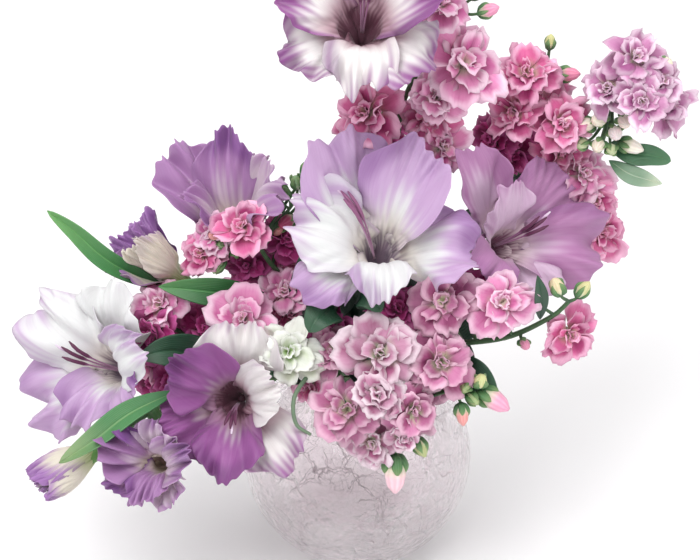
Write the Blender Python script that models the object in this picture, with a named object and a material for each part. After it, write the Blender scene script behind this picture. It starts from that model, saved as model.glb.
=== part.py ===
"""Gladioli and double stock in a crackled glass globe vase.

The vase stands on its flat foot at the origin, +Z up, seen along +Y. Every place in the bouquet
is measured from the middle of the vase's mouth and grows with the size of the flowers, so the
heads keep clear of each other. Stems run from their cut ends in the bowl, through a slot each in
the neck, to the heads that they carry.
"""

import math
from dataclasses import dataclass

import bmesh
import bpy
from mathutils import Vector

MM = 0.001

# Vase.
BOWL_RADIUS = 75 * MM
FOOT_RADIUS = 40 * MM
GLASS_WALL = 3.2 * MM
BASE_THICKNESS = 9 * MM
NECK_RADIUS = 28 * MM
COLLAR_HEIGHT = 9 * MM
COLLAR_FLARE = 3.5 * MM
FOOT_ROUNDING = 1.5 * MM
BOWL_SIDES = 36
BOWL_BANDS = 9

# Flowers. A head is as wide as its diameter times its own size.
BLOOM_DIAMETER = 116 * MM
FLORET_DIAMETER = 34 * MM
BLOOM_DEPTH = 55 * MM
FLORET_DEPTH = 21 * MM
DESIGN_BLOOM = 116 * MM
DESIGN_FLORET = 34 * MM
TEPAL_THICKNESS = 1.2 * MM
TEPALS = 6
BLOOM_SIDES = 18
FLORET_SIDES = 10
STAMEN_LENGTH = 30 * MM
STAMEN_RADIUS = 0.9 * MM

# Stems and leaves.
GLADIOLUS_STEM_RADIUS = 4.2 * MM
STOCK_STEM_RADIUS = 2.5 * MM
TIP_SHARE = 0.55
TUBE_RADIUS = 2.8 * MM
PEDICEL_RADIUS = 1.1 * MM
LEAF_THICKNESS = 1.0 * MM
CUT_END_DEPTH = 58 * MM
STALK_RADIUS = 0.9 * MM
CURLED_STALK_RADIUS = 1.3 * MM
BUD_LENGTH = 9 * MM
TIP_BUD_LENGTH = 60 * MM
CLEARANCE = 0.3 * MM
PATH_STEPS = 2
STEM_SIDES = 7
FINE_SIDES = 5

# The globe stands on the circle that the flat foot cuts from it.
BOWL_CENTRE = math.sqrt(BOWL_RADIUS**2 - FOOT_RADIUS**2)
NECK_OUTER = NECK_RADIUS + GLASS_WALL
NECK_HEIGHT = BOWL_CENTRE + math.sqrt(BOWL_RADIUS**2 - NECK_OUTER**2)
MOUTH = Vector((0, 0, NECK_HEIGHT + COLLAR_HEIGHT))
DESIGN_NECK = 28 * MM
SPACING = max(BLOOM_DIAMETER / DESIGN_BLOOM, FLORET_DIAMETER / DESIGN_FLORET)


@dataclass
class Head:
    """A flower or floret: the middle of its open face (mm from the mouth), the way that it
    faces, its width as a share of its kind's diameter, and how short its lower lip is."""

    face: tuple
    axis: tuple
    size: float = 1.0
    lip: float = 1.0
    joined: bool = False


@dataclass
class Spray:
    """A stem: its slot in the neck and the points that it passes (mm), and what it carries."""

    slot: tuple
    route: tuple
    heads: dict
    buds: tuple = ()


GLADIOLI = {
    "centre": Spray(
        (1, 13),
        ((4, 14, 30), (4, 14, 68), (4, 27, 119), (3, 33, 180), (2, 35, 215), (4, 44, 250)),
        {
            "centre": Head((15, -58, 140), (0.12, -0.65, 0.75), 1.0, lip=0.65),
            "top": Head((2, -30, 266), (0.0, -0.70, 0.72), 0.9),
        },
        ((4, 46, 262, 1.3), (0, 30, 246, 1.2)),
    ),
    "right": Spray(
        (21, 6),
        ((30, 10, 16), (46, 22, 36), (58, 30, 54), (64, 34, 72)),
        {"right": Head((116, -20, 112), (0.62, -0.52, 0.58), 0.78)},
    ),
    "upper_left": Spray(
        (-11, 14),
        ((-20, 14, 14), (-40, 10, 30), (-66, 4, 45), (-97, -2, 54), (-125, -8, 60)),
        {
            "upper_left": Head((-84, 0, 143), (-0.33, 0.18, 0.93), 0.66),
            "half_open": Head((-143, -15, 111), (-0.62, 0.02, 0.79), 0.4),
        },
    ),
    "left": Spray(
        (-19, 7),
        ((-34, 10, 12), (-66, 4, 4), (-112, -2, -8)),
        {"left": Head((-177, -70, 45), (-0.55, -0.64, 0.53), 0.84, lip=0.8)},
    ),
    "lower_left": Spray(
        (-18, -5),
        ((-28, -6, 12), (-44, -18, 8), (-64, -34, 3), (-96, -56, 9), (-124, -76, 16), (-150, -98, 9)),
        {
            "front_left": Head((-78, -100, 32), (-0.20, -0.88, 0.43), 0.82),
            "crumpled": Head((-132, -122, -1), (-0.46, -0.88, 0.14), 0.48),
        },
    ),
}

STAMENS = ("centre", "top", "right", "left", "front_left")

STOCK = {
    "tall": Spray(
        (8, 3),
        ((14, 12, 40), (23, 22, 91), (24, 26, 141), (29, 26, 178), (45, 26, 210), (55, 24, 242)),
        {
            "a": Head((65, 6, 214), (0.40, -0.64, 0.65), 0.96),
            "b": Head((48, 0, 193), (0.0, -0.89, 0.46), 0.8),
            "c": Head((5, 6, 179), (-0.41, -0.77, 0.50), 0.96),
            "d": Head((53, 8, 154), (0.30, -0.80, 0.52), 0.85),
            "e": Head((20, 12, 147), (0.0, -0.93, 0.36), 0.7, joined=True),
            "f": Head((50, 12, 252), (0.0, -0.55, 0.84), 0.85, joined=True),
            "g": Head((42, 44, 196), (0.19, 0.91, -0.36), 0.85, joined=True),
            "h": Head((17, 47, 151), (-0.29, 0.80, -0.52), 0.85, joined=True),
        },
        ((78, 16, 244, 1.0), (71, 18, 254, 0.8), (66, 22, 262, 0.7)),
    ),
    "right": Spray(
        (12, 14),
        ((20, 28, 20), (52, 44, 60), (96, 52, 97), (112, 50, 141), (116, 46, 180), (118, 44, 194)),
        {
            "a": Head((104, 22, 199), (-0.10, -0.63, 0.77), 0.92),
            "b": Head((126, 18, 165), (0.30, -0.80, 0.52), 0.96),
            "c": Head((96, 22, 170), (-0.41, -0.77, 0.50), 0.85, joined=True),
            "d": Head((98, 38, 132), (-0.30, -0.85, 0.43), 0.85, joined=True),
            "e": Head((131, 64, 98), (0.30, -0.92, 0.24), 0.8, joined=True),
            "f": Head((116, 68, 161), (0.10, 0.96, -0.28), 0.9, joined=True),
            "g": Head((119, 74, 114), (0.10, 0.71, -0.70), 0.9, joined=True),
        },
        ((130, 40, 187, 1.1), (119, 42, 208, 0.8)),
    ),
    "far_right": Spray(
        (15, -1),
        ((36, 4, 20), (88, 22, 56), (126, 38, 86), (150, 50, 116), (157, 46, 145), (160, 38, 168),
         (171, 34, 189), (180, 34, 207)),
        {
            "a": Head((170, 16, 214), (0.20, -0.53, 0.82), 1.05),
            "b": Head((194, 12, 182), (0.51, -0.72, 0.47), 1.0),
            "c": Head((143, 30, 121), (0.30, -0.74, 0.60), 0.95),
            "d": Head((156, 24, 81), (0.51, -0.84, 0.19), 0.95),
            "e": Head((153, 10, 194), (-0.31, -0.67, 0.68), 0.9, joined=True),
            "f": Head((173, -3, 192), (0.0, -0.88, 0.46), 0.75, joined=True),
            "g": Head((177, 54, 183), (0.10, 0.96, -0.28), 0.9, joined=True),
        },
        ((188, 22, 205, 1.0), (143, 24, 160, 1.1), (150, 20, 166, 1.1), (160, 18, 158, 1.1),
         (150, 16, 150, 1.0)),
    ),
    "lower_right": Spray(
        (18, -8),
        ((30, -20, 20), (42, -34, 34), (64, -46, 43), (94, -52, 52), (120, -52, 67), (130, -52, 78)),
        {
            "a": Head((88, -68, 88), (0.20, -0.76, 0.62), 1.0),
            "b": Head((132, -54, 55), (0.31, -0.89, 0.33), 0.85),
            "c": Head((52, -68, 89), (0.0, -0.78, 0.63), 0.98),
        },
        ((122, -58, 92, 1.2), (138, -52, 86, 1.1), (103, -60, 52, 0.9), (112, -54, 80, 0.8)),
    ),
    "centre": Spray(
        (8, -8),
        ((12, -28, 34), (14, -48, 50), (16, -66, 48), (18, -78, 34), (21, -84, 7), (22, -88, -12)),
        {
            "a": Head((13, -93, 68), (0.0, -0.78, 0.63), 1.1),
            "b": Head((51, -89, 58), (0.20, -0.82, 0.53), 1.06),
            "c": Head((-15, -76, 57), (-0.40, -0.71, 0.58), 0.78),
            "d": Head((-7, -104, 34), (-0.29, -0.85, 0.44), 0.95),
            "e": Head((24, -62, 80), (0.0, -0.55, 0.84), 0.8, joined=True),
            "f": Head((8, -104, 8), (-0.10, -0.98, 0.16), 0.8, joined=True),
            "g": Head((34, -104, 32), (0.31, -0.89, 0.33), 0.8, joined=True),
        },
        ((24, -102, -18, 1.2), (62, -88, 24, 1.1), (74, -80, 38, 0.9), (26, -100, 8, 1.3)),
    ),
    "left": Spray(
        (-9, -8),
        ((-18, -22, 30), (-40, -42, 48), (-62, -40, 44), (-84, -30, 38), (-106, -34, 41),
         (-121, -34, 49)),
        {
            "a": Head((-71, -58, 69), (-0.10, -0.70, 0.70), 1.0),
            "b": Head((-43, -81, 60), (-0.10, -0.78, 0.62), 0.9),
            "c": Head((-46, -34, 74), (0.0, -0.64, 0.77), 0.75, joined=True),
            "d": Head((-124, -36, 66), (-0.30, -0.50, 0.81), 0.9, joined=True),
            "e": Head((-129, -52, 52), (-0.50, -0.77, 0.38), 0.8, joined=True),
            "f": Head((-100, -24, 36), (0.0, -0.78, 0.63), 0.85, joined=True),
            "g": Head((-113, -46, 12), (-0.20, -0.87, 0.45), 0.9, joined=True),
            "h": Head((-94, 12, 34), (-0.15, 0.94, -0.1), 0.85, joined=True),
        },
    ),
    "upper_left": Spray(
        (-7, 3),
        ((-15, -2, 27), (-36, -12, 56), (-54, -22, 86), (-62, -27, 104)),
        {
            "a": Head((-71, -42, 127), (-0.10, -0.63, 0.77), 0.8, joined=True),
            "b": Head((-98, -26, 97), (-0.50, -0.60, 0.63), 0.75, joined=True),
            "c": Head((-44, -16, 102), (0.30, -0.74, 0.60), 0.75, joined=True),
        },
        ((-43, -12, 133, 1.1), (-34, -12, 145, 1.2), (-52, -14, 118, 0.9)),
    ),
}


@dataclass
class Leaf:
    """A blade along its route (mm from the mouth), its half width, and the way it faces."""

    route: tuple
    half_width: float
    facing: tuple = (0, -0.6, 0.8)
    fullness: float = 0.6


LEAVES = {
    "spathe_long_left": Leaf(((-122, -16, 64), (-154, -29, 92), (-175, -30, 115), (-191, -28, 129)), 7.5),
    "spathe_middle_left": Leaf(((-50, -30, 62), (-74, -36, 72), (-98, -40, 78), (-124, -38, 80)), 8),
    "spathe_lower_left": Leaf(
        ((-112, -88, 36), (-139, -101, 29), (-161, -113, 17), (-184, -121, 5)), 9, (0, -0.5, 0.86)
    ),
    "leaf_long_left": Leaf(((-88, -42, 26), (-104, -62, 46), (-119, -70, 53), (-136, -74, 51)), 11),
    "leaf_round_left": Leaf(((-8, -48, 66), (-15, -64, 84), (-24, -80, 86), (-30, -86, 78)), 11),
    "leaf_round_right": Leaf(((-2, -48, 74), (2, -64, 92), (8, -74, 95), (14, -80, 89)), 9),
    "leaf_pointed_left": Leaf(((-24, -56, 32), (-39, -73, 40), (-48, -81, 45), (-57, -84, 46)), 7),
    "leaf_far_right_upper": Leaf(((158, 30, 143), (172, 24, 139), (184, 20, 140), (196, 18, 137)), 6),
    "leaf_far_right_lower": Leaf(((158, 26, 133), (170, 20, 127), (181, 16, 125), (191, 14, 123)), 5.5),
    "leaf_slender_right": Leaf(
        ((112, -60, 70), (112, -64, 86), (111, -66, 96), (109, -66, 106)), 4, (0.2, -1, 0.2)
    ),
    "leaf_lower_right": Leaf(((58, -58, 36), (68, -70, 38), (78, -78, 33), (86, -82, 26)), 9),
    "leaf_back_left": Leaf(((-28, 24, 20), (-48, 46, 40), (-64, 62, 44), (-78, 74, 38)), 12, (0, 0.5, 0.86)),
    "leaf_back_right": Leaf(((34, 34, 16), (52, 62, 34), (66, 80, 36), (80, 94, 28)), 12, (0, 0.5, 0.86)),
}

TENDRIL = ((-22, -52, 34), (-30, -80, 43), (-39, -101, 40), (-38, -107, 25), (-29, -109, 18))

# A bloom's outline from the throat to the rim: distance along its axis and radius, as shares of
# its depth and its own radius. Lobes start where the funnel opens.
BLOOM_PROFILE = (
    (-1.0, 0.055, 0.0),
    (-0.62, 0.13, 0.0),
    (-0.3, 0.32, 0.1),
    (-0.08, 0.66, 0.26),
    (0.0, 1.0, 0.36),
)
THROAT_STATION = -0.67
# A floret's outline, from its calyx over the rim to the middle of its face.
FLORET_PROFILE = (
    (-1.0, 0.10, 0.0),
    (-0.6, 0.22, 0.0),
    (-0.16, 0.86, 0.07),
    (0.0, 1.0, 0.10),
    (0.2, 0.62, 0.05),
)
FLORET_LOBES = 5
# A small bud's and the large tip bud's outline: share of the length, and radius in mm.
BUD_OUTLINE = ((0.25, 2.6), (0.6, 3.1), (0.9, 1.8))
TIP_BUD_OUTLINE = ((0.0, 3.0), (0.2, 6.0), (0.5, 9.5), (0.8, 7.0), (0.95, 3.0))
TIP_BUD_AXIS = (-0.90, -0.28, -0.33)
# Where along the bend from the stem to a head its rings lie.
BEND_STATIONS = (0.0, 0.35, 0.7)
# Each stamen's sideways lean, and its stations: share of its length, and of its radius.
STAMEN_LEANS = (-0.16, 0.0, 0.16)
STAMEN_RISE = 0.12
STAMEN_OUTLINE = ((0.0, 1.0), (0.35, 0.8), (0.6, 1.5), (0.9, 0.9))
# How far a stem's or pedicel's end cap stands out, and its swell where it meets the stem.
CAP_RISE = 0.1
ROOT_SWELL = 0.4

# Colour (linear), roughness, metallic.
MATERIALS = {
    "glass": ((0.80, 0.70, 0.76), 0.06, 0.0),
    "gladiolus_petal": ((0.72, 0.52, 0.74), 0.55, 0.0),
    "gladiolus_white": ((0.84, 0.82, 0.83), 0.55, 0.0),
    "stock_petal": ((0.76, 0.20, 0.40), 0.6, 0.0),
    "stock_pale": ((0.86, 0.58, 0.68), 0.6, 0.0),
    "stem": ((0.06, 0.12, 0.05), 0.5, 0.0),
    "leaf": ((0.02, 0.07, 0.035), 0.45, 0.0),
    "spathe": ((0.10, 0.26, 0.07), 0.45, 0.0),
    "stamen": ((0.32, 0.10, 0.20), 0.5, 0.0),
}
WHITE_HEADS = ("left", "centre")
PALE_STOCK = (("left", "b"), ("centre", "a"), ("tall", "d"), ("far_right", "a"))


def clear_scene():
    """Removes what the file opened with."""
    for existing in list(bpy.data.objects):
        bpy.data.objects.remove(existing, do_unlink=True)


def material(slot):
    """The slot's material, made the first time that it is asked for."""
    found = bpy.data.materials.get(slot)
    if found:
        return found
    colour, roughness, metallic = MATERIALS[slot]
    made = bpy.data.materials.new(slot)
    made.use_nodes = True
    made.diffuse_color = (*colour, 1)
    shader = made.node_tree.nodes["Principled BSDF"]
    shader.inputs["Base Color"].default_value = (*colour, 1)
    shader.inputs["Roughness"].default_value = roughness
    shader.inputs["Metallic"].default_value = metallic
    return made


def in_bouquet(point):
    """A place in the bouquet (mm from the mouth), spread as the heads' sizes need."""
    return MOUTH + SPACING * MM * Vector(point[:3])


def square_axes(axis):
    """Two directions square to axis; the first points as far down as it can."""
    down = Vector((0, 0, -1)) - axis * axis.dot(Vector((0, 0, -1)))
    if down.length < 1e-3:
        down = Vector((0, -1, 0)) - axis * axis.dot(Vector((0, -1, 0)))
    down.normalize()
    return down, axis.cross(down)


def ring(centre, axis, radius_at, sides, reference=None):
    """Points around centre, square to axis, radius_at(angle) from it."""
    first, second = reference or square_axes(axis)
    angles = [math.tau * step / sides for step in range(sides)]
    return [centre + radius_at(a) * (math.cos(a) * first + math.sin(a) * second) for a in angles]


def closed_mesh(name, rings, start, end):
    """One closed skin through rings of equally many points, closed to a point at each end."""
    mesh = bmesh.new()
    rows = [[mesh.verts.new(point) for point in points] for points in rings]
    poles = mesh.verts.new(start), mesh.verts.new(end)
    sides = len(rows[0])
    for lower, upper in zip(rows, rows[1:]):
        for i in range(sides):
            j = (i + 1) % sides
            mesh.faces.new((lower[i], lower[j], upper[j], upper[i]))
    for i in range(sides):
        j = (i + 1) % sides
        mesh.faces.new((poles[0], rows[0][j], rows[0][i]))
        mesh.faces.new((poles[1], rows[-1][i], rows[-1][j]))
    bmesh.ops.recalc_face_normals(mesh, faces=mesh.faces)
    data = bpy.data.meshes.new(name)
    mesh.to_mesh(data)
    mesh.free()
    data.shade_smooth()
    return data


def node(name, data, slot):
    """The mesh as a named sub-part in its own material."""
    part = bpy.data.objects.new(name, data)
    data.materials.append(material(slot))
    bpy.context.collection.objects.link(part)
    return part


def united(name, pieces, slot):
    """One sub-part from pieces that grow out of each other."""
    part = node(name, pieces[0], slot)
    for number, data in enumerate(pieces[1:]):
        piece = bpy.data.objects.new(f"{name}_grown_{number}", data)
        bpy.context.collection.objects.link(piece)
        piece.hide_render = True
        piece.display_type = "WIRE"
        join = part.modifiers.new(f"grown together {number}", "BOOLEAN")
        join.operation = "UNION"
        join.solver = "EXACT"
        join.object = piece
    return part


def smooth_route(points, steps=PATH_STEPS):
    """A Catmull-Rom curve through the points."""
    ends = [2 * points[0] - points[1], *points, 2 * points[-1] - points[-2]]
    curve = []
    for a, b, c, d in zip(ends, ends[1:], ends[2:], ends[3:]):
        for step in range(steps):
            t = step / steps
            curve.append(
                0.5
                * (2 * b + t * (c - a) + t * t * (2 * a - 5 * b + 4 * c - d)
                   + t**3 * (3 * b - a - 3 * c + d))
            )
    return [*curve, points[-1]]


def tangents(route):
    """The route's direction at each of its points."""
    last = len(route) - 1
    return [(route[min(i + 1, last)] - route[max(i - 1, 0)]).normalized() for i in range(last + 1)]


def tube(name, route, radii, sides):
    """A round stem along the route, its ends closed a little beyond their last rings."""
    directions = tangents(route)
    rings = [
        ring(point, way, lambda _angle, r=radius: r, sides)
        for point, way, radius in zip(route, directions, radii)
    ]
    start = route[0] - directions[0] * radii[0] * CAP_RISE
    end = route[-1] + directions[-1] * radii[-1] * CAP_RISE
    return closed_mesh(name, rings, start, end)


def stem_route(spray):
    """From the cut end straight up the slot in the neck, and on along the spray's route."""
    across = NECK_RADIUS / DESIGN_NECK * MM
    slot = MOUTH + Vector((spray.slot[0] * across, spray.slot[1] * across, 0))
    foot = slot - Vector((0, 0, CUT_END_DEPTH))
    middle = slot - Vector((0, 0, CUT_END_DEPTH / 2))
    return smooth_route([foot, middle, slot, *(in_bouquet(point) for point in spray.route)])


def stem_radii(route, radius):
    """Full in the vase, thinner towards the tip."""
    last = len(route) - 1
    return [radius * (1 - (1 - TIP_SHARE) * (i / last) ** 2) for i in range(last + 1)]


def attachment(route, radii, base, own_radius, joined):
    """Where a neck that ends at base leaves the stem, and the way that it leaves."""
    first = 2 * PATH_STEPS + 1
    nearest = min(range(first, len(route)), key=lambda i: (route[i] - base).length)
    way = tangents(route)[nearest]
    outward = base - route[nearest]
    if nearest < len(route) - 1:
        outward -= way * outward.dot(way)
    outward.normalize()
    off = 0 if joined else radii[nearest] + CLEARANCE + ROOT_SWELL * own_radius
    return route[nearest] + outward * off, outward


def neck_route(start, outward, base, axis):
    """The bend from the stem to the back of a head."""
    reach = (base - start).length / 3
    control = [start, start + outward * reach, base - axis * reach, base]
    points = []
    for t in BEND_STATIONS:
        weights = ((1 - t) ** 3, 3 * t * (1 - t) ** 2, 3 * t * t * (1 - t), t**3)
        points.append(sum((w * c for w, c in zip(weights, control)), Vector()))
    return points


def neck_rings(points, base, radius, sides):
    """Rings along the bend, up to the back of the head."""
    directions = tangents([*points, base])
    return [ring(p, way, lambda _angle: radius, sides) for p, way in zip(points, directions)]


def lobed(radius, depth, lobes, lip):
    """Radius by angle: lobes in the rim, the lowest of them shortened to its lip."""

    def at(angle):
        wave = 1 - depth * (0.5 - 0.5 * math.cos(lobes * angle))
        low = max(0.0, math.cos(angle)) ** 2
        return radius * wave * (1 - (1 - lip) * low)

    return at


def bloom_depth(head):
    """A smaller bloom's funnel is shorter, though not by as much as it is narrower."""
    return BLOOM_DEPTH * (0.55 + 0.45 * head.size)


def bloom_mesh(name, head, route, radii):
    """A gladiolus flower: a bent tube that opens into a funnel with six lobes."""
    axis = Vector(head.axis).normalized()
    face = in_bouquet(head.face)
    radius = BLOOM_DIAMETER / 2 * head.size
    depth = bloom_depth(head)
    base = face - axis * depth
    start, outward = attachment(route, radii, base, TUBE_RADIUS, head.joined)
    bend = neck_route(start, outward, base, axis)
    rings = neck_rings(bend, base, TUBE_RADIUS, BLOOM_SIDES)
    inside = []
    for along, share, lobe_depth in BLOOM_PROFILE:
        lip = 1 if lobe_depth < 0.2 else head.lip
        centre = face + axis * depth * along
        outline = lobed(max(radius * share, TUBE_RADIUS), lobe_depth, TEPALS, lip)
        rings.append(ring(centre, axis, outline, BLOOM_SIDES))
        if along > -0.9:
            inner = lobed(radius * share - TEPAL_THICKNESS, lobe_depth, TEPALS, lip)
            inside.append(ring(centre + axis * TEPAL_THICKNESS, axis, inner, BLOOM_SIDES))
    throat = face + axis * depth * THROAT_STATION
    return closed_mesh(name, rings + inside[::-1], start - outward * TUBE_RADIUS * CAP_RISE, throat)


def floret_mesh(name, head, route, radii):
    """A double stock floret: pedicel, calyx and a full rosette, as one plain solid."""
    axis = Vector(head.axis).normalized()
    face = in_bouquet(head.face)
    radius = FLORET_DIAMETER / 2 * head.size
    depth = FLORET_DEPTH * head.size
    base = face - axis * depth
    start, outward = attachment(route, radii, base, PEDICEL_RADIUS, head.joined)
    bend = neck_route(start, outward, base, axis)
    rings = neck_rings(bend, base, PEDICEL_RADIUS, FLORET_SIDES)
    for along, share, lobe_depth in FLORET_PROFILE:
        outline = lobed(radius * share, lobe_depth, FLORET_LOBES, 1)
        rings.append(ring(face + axis * depth * along, axis, outline, FLORET_SIDES))
    return closed_mesh(name, rings, start - outward * PEDICEL_RADIUS * CAP_RISE, face)


def bud_mesh(name, place, route):
    """A closed bud on a thin stalk from the stem."""
    length = BUD_LENGTH * place[3]
    tip = in_bouquet(place)
    nearest = min(route, key=lambda point: (point - tip).length)
    way = (tip - nearest).normalized()
    base = tip - way * length
    stalk = [nearest, (nearest + base) / 2, base]
    rings = [ring(p, way, lambda _angle: STALK_RADIUS, STEM_SIDES) for p in stalk]
    for along, radius in BUD_OUTLINE:
        wide = radius * MM * place[3]
        rings.append(ring(base + way * length * along, way, lambda _a, r=wide: r, STEM_SIDES))
    return closed_mesh(name, rings, nearest - way * STALK_RADIUS * CAP_RISE, tip)


def make_vase():
    """A globe on a flat foot, thick below, with a short flared collar, turned in one piece."""
    inner = BOWL_RADIUS - GLASS_WALL
    foot_angle = -math.acos(FOOT_RADIUS / BOWL_RADIUS)
    neck_angle = math.acos(NECK_OUTER / BOWL_RADIUS)
    inner_neck = math.acos(NECK_RADIUS / inner)
    base_angle = math.asin((BASE_THICKNESS - BOWL_CENTRE) / inner)
    lip = MOUTH.z
    flared = NECK_OUTER + COLLAR_FLARE
    profile = [(FOOT_RADIUS - FOOT_ROUNDING, 0.0), (FOOT_RADIUS, FOOT_ROUNDING * 0.6)]
    for step in range(1, BOWL_BANDS + 1):
        angle = foot_angle + (neck_angle - foot_angle) * step / BOWL_BANDS
        profile.append((BOWL_RADIUS * math.cos(angle), BOWL_CENTRE + BOWL_RADIUS * math.sin(angle)))
    profile += [(NECK_OUTER + COLLAR_FLARE * 0.2, NECK_HEIGHT + COLLAR_HEIGHT * 0.5)]
    profile += [(flared, lip - GLASS_WALL * 0.5), (flared - GLASS_WALL * 0.5, lip)]
    profile += [(flared - GLASS_WALL, lip - GLASS_WALL * 0.5)]
    profile += [(NECK_RADIUS + COLLAR_FLARE * 0.1, NECK_HEIGHT + COLLAR_HEIGHT * 0.4)]
    for step in range(BOWL_BANDS):
        angle = inner_neck + (base_angle - inner_neck) * step / (BOWL_BANDS - 1)
        profile.append((inner * math.cos(angle), BOWL_CENTRE + inner * math.sin(angle)))
    up = Vector((0, 0, 1))
    rings = [ring(up * z, up, lambda _angle, r=r: r, BOWL_SIDES) for r, z in profile]
    data = closed_mesh("vase", rings, Vector((0, 0, 0)), up * BASE_THICKNESS)
    data.set_sharp_from_angle(angle=math.radians(40))
    node("vase", data, "glass")


def make_gladioli():
    """The five gladiolus stems with their flowers."""
    for spike, spray in GLADIOLI.items():
        route = stem_route(spray)
        radii = stem_radii(route, GLADIOLUS_STEM_RADIUS)
        name = "gladiolus_stem_" + spike
        pieces = [tube(name, route, radii, STEM_SIDES)]
        pieces += [bud_mesh(f"{name}_bud_{i}", place, route) for i, place in enumerate(spray.buds)]
        united(name, pieces, "stem")
        for which, head in spray.heads.items():
            flower = "gladiolus_flower_" + which
            slot = "gladiolus_white" if which in WHITE_HEADS else "gladiolus_petal"
            node(flower, bloom_mesh(flower, head, route, radii), slot)
            if which in STAMENS:
                make_stamens("stamens_" + which, head)


def make_stamens(name, head):
    """Three stamens that rise from the throat and lean to the upper side, grown together below."""
    axis = Vector(head.axis).normalized()
    down, across = square_axes(axis)
    throat = bloom_depth(head) * THROAT_STATION
    foot = in_bouquet(head.face) + axis * (throat + 3 * CLEARANCE)
    pieces = []
    for number, spread in enumerate(STAMEN_LEANS):
        lean = (axis - STAMEN_RISE * down + spread * across).normalized()
        route = [foot + lean * STAMEN_LENGTH * share for share, _width in STAMEN_OUTLINE]
        radii = [STAMEN_RADIUS * width for _share, width in STAMEN_OUTLINE]
        pieces.append(tube(f"{name}_{number}", route, radii, FINE_SIDES))
    united(name, pieces, "stamen")


def make_bud():
    """The closed bud at the tip of the lower left gladiolus, in its green sheath."""
    spray = GLADIOLI["lower_left"]
    stem_end = in_bouquet(spray.route[-1])
    tip_radius = GLADIOLUS_STEM_RADIUS * TIP_SHARE
    way = Vector(TIP_BUD_AXIS).normalized()
    start = stem_end + way * (tip_radius + 2 * CLEARANCE)
    length = TIP_BUD_LENGTH * SPACING
    rings = [
        ring(start + way * length * along, way, lambda _a, r=r * MM: r, FLORET_SIDES)
        for along, r in TIP_BUD_OUTLINE
    ]
    root = start - way * CLEARANCE * CAP_RISE
    data = closed_mesh("gladiolus_bud", rings, root, start + way * length)
    node("gladiolus_bud", data, "gladiolus_petal")


def make_stock():
    """The seven sprays of stock, each with its florets; the far ones grow on as one piece."""
    for side, spray in STOCK.items():
        route = stem_route(spray)
        radii = stem_radii(route, STOCK_STEM_RADIUS)
        name = "stock_stem_" + side
        pieces = [tube(name, route, radii, STEM_SIDES)]
        pieces += [bud_mesh(f"{name}_bud_{i}", place, route) for i, place in enumerate(spray.buds)]
        for which, head in spray.heads.items():
            data = floret_mesh(f"stock_floret_{side}_{which}", head, route, radii)
            if head.joined:
                pieces.append(data)
            else:
                slot = "stock_pale" if (side, which) in PALE_STOCK else "stock_petal"
                node(data.name, data, slot)
        united(name, pieces, "stem")


def blade_mesh(name, leaf):
    """A leaf or spathe: a thin blade, widest past its middle, pointed at both ends."""
    route = smooth_route([in_bouquet(point) for point in leaf.route])
    directions = tangents(route)
    facing = Vector(leaf.facing).normalized()
    half = leaf.half_width * MM * SPACING
    rings = []
    last = len(route) - 1
    for i in range(1, last):
        side = directions[i].cross(facing).normalized()
        back = side.cross(directions[i]).normalized() * LEAF_THICKNESS / 2
        wide = side * half * math.sin(math.pi * i / last) ** leaf.fullness
        trough = route[i] - back * 2
        rings.append([
            route[i] - wide, trough - wide * 0.3 - back, trough + wide * 0.3 - back,
            route[i] + wide, trough + wide * 0.3 + back, trough - wide * 0.3 + back,
        ])
    return closed_mesh(name, rings, route[0], route[-1])


def make_leaves():
    """Leaves and spathes, and the thin stalk that curls over the vase's shoulder."""
    for name, leaf in LEAVES.items():
        node(name, blade_mesh(name, leaf), "spathe" if name.startswith("spathe") else "leaf")
    route = smooth_route([in_bouquet(point) for point in TENDRIL], 3)
    radii = [CURLED_STALK_RADIUS] * len(route)
    node("curled_stalk", tube("curled_stalk", route, radii, STEM_SIDES), "leaf")


def main():
    clear_scene()
    make_vase()
    make_gladioli()
    make_bud()
    make_stock()
    make_leaves()


main()
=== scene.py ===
"""Looks of gladioli and double stock in a crackled glass globe vase.

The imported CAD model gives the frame: the vase, its mouth and the place of each node. Every
flower here stands where its node stands and replaces it, petal by petal. Sizes are in
millimetres and angles in degrees, and places are from the middle of the vase's mouth, unless
a docstring says otherwise.
"""

from __future__ import annotations

import logging
import math
from dataclasses import dataclass, field
from enum import Enum

import bpy
import numpy as np
from mathutils import Matrix, Vector

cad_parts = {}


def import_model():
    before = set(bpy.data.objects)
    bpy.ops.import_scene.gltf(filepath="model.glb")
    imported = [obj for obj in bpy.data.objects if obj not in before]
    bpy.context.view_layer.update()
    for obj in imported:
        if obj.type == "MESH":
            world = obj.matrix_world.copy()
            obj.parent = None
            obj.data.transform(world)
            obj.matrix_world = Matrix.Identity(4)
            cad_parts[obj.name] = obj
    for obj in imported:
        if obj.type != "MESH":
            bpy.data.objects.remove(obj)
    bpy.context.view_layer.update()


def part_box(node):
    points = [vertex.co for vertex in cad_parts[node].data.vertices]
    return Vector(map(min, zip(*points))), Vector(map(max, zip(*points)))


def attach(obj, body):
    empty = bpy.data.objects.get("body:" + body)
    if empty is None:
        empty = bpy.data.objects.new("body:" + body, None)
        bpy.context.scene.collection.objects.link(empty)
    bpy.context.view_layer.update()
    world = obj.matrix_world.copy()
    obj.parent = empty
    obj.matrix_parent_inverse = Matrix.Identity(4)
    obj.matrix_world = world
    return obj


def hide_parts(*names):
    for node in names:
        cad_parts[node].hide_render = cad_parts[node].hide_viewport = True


log = logging.getLogger("bouquet")
MM = 0.001
BODY = "root"
UP = Vector((0, 0, 1))
Grid = np.ndarray
Piece = bpy.types.Object
Tree = bpy.types.NodeTree
Socket = bpy.types.NodeSocket
Material = bpy.types.Material
Triple = tuple[float, float, float]
Stops = list[tuple[float, float]]
Shades = list[tuple[float, str]]


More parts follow.
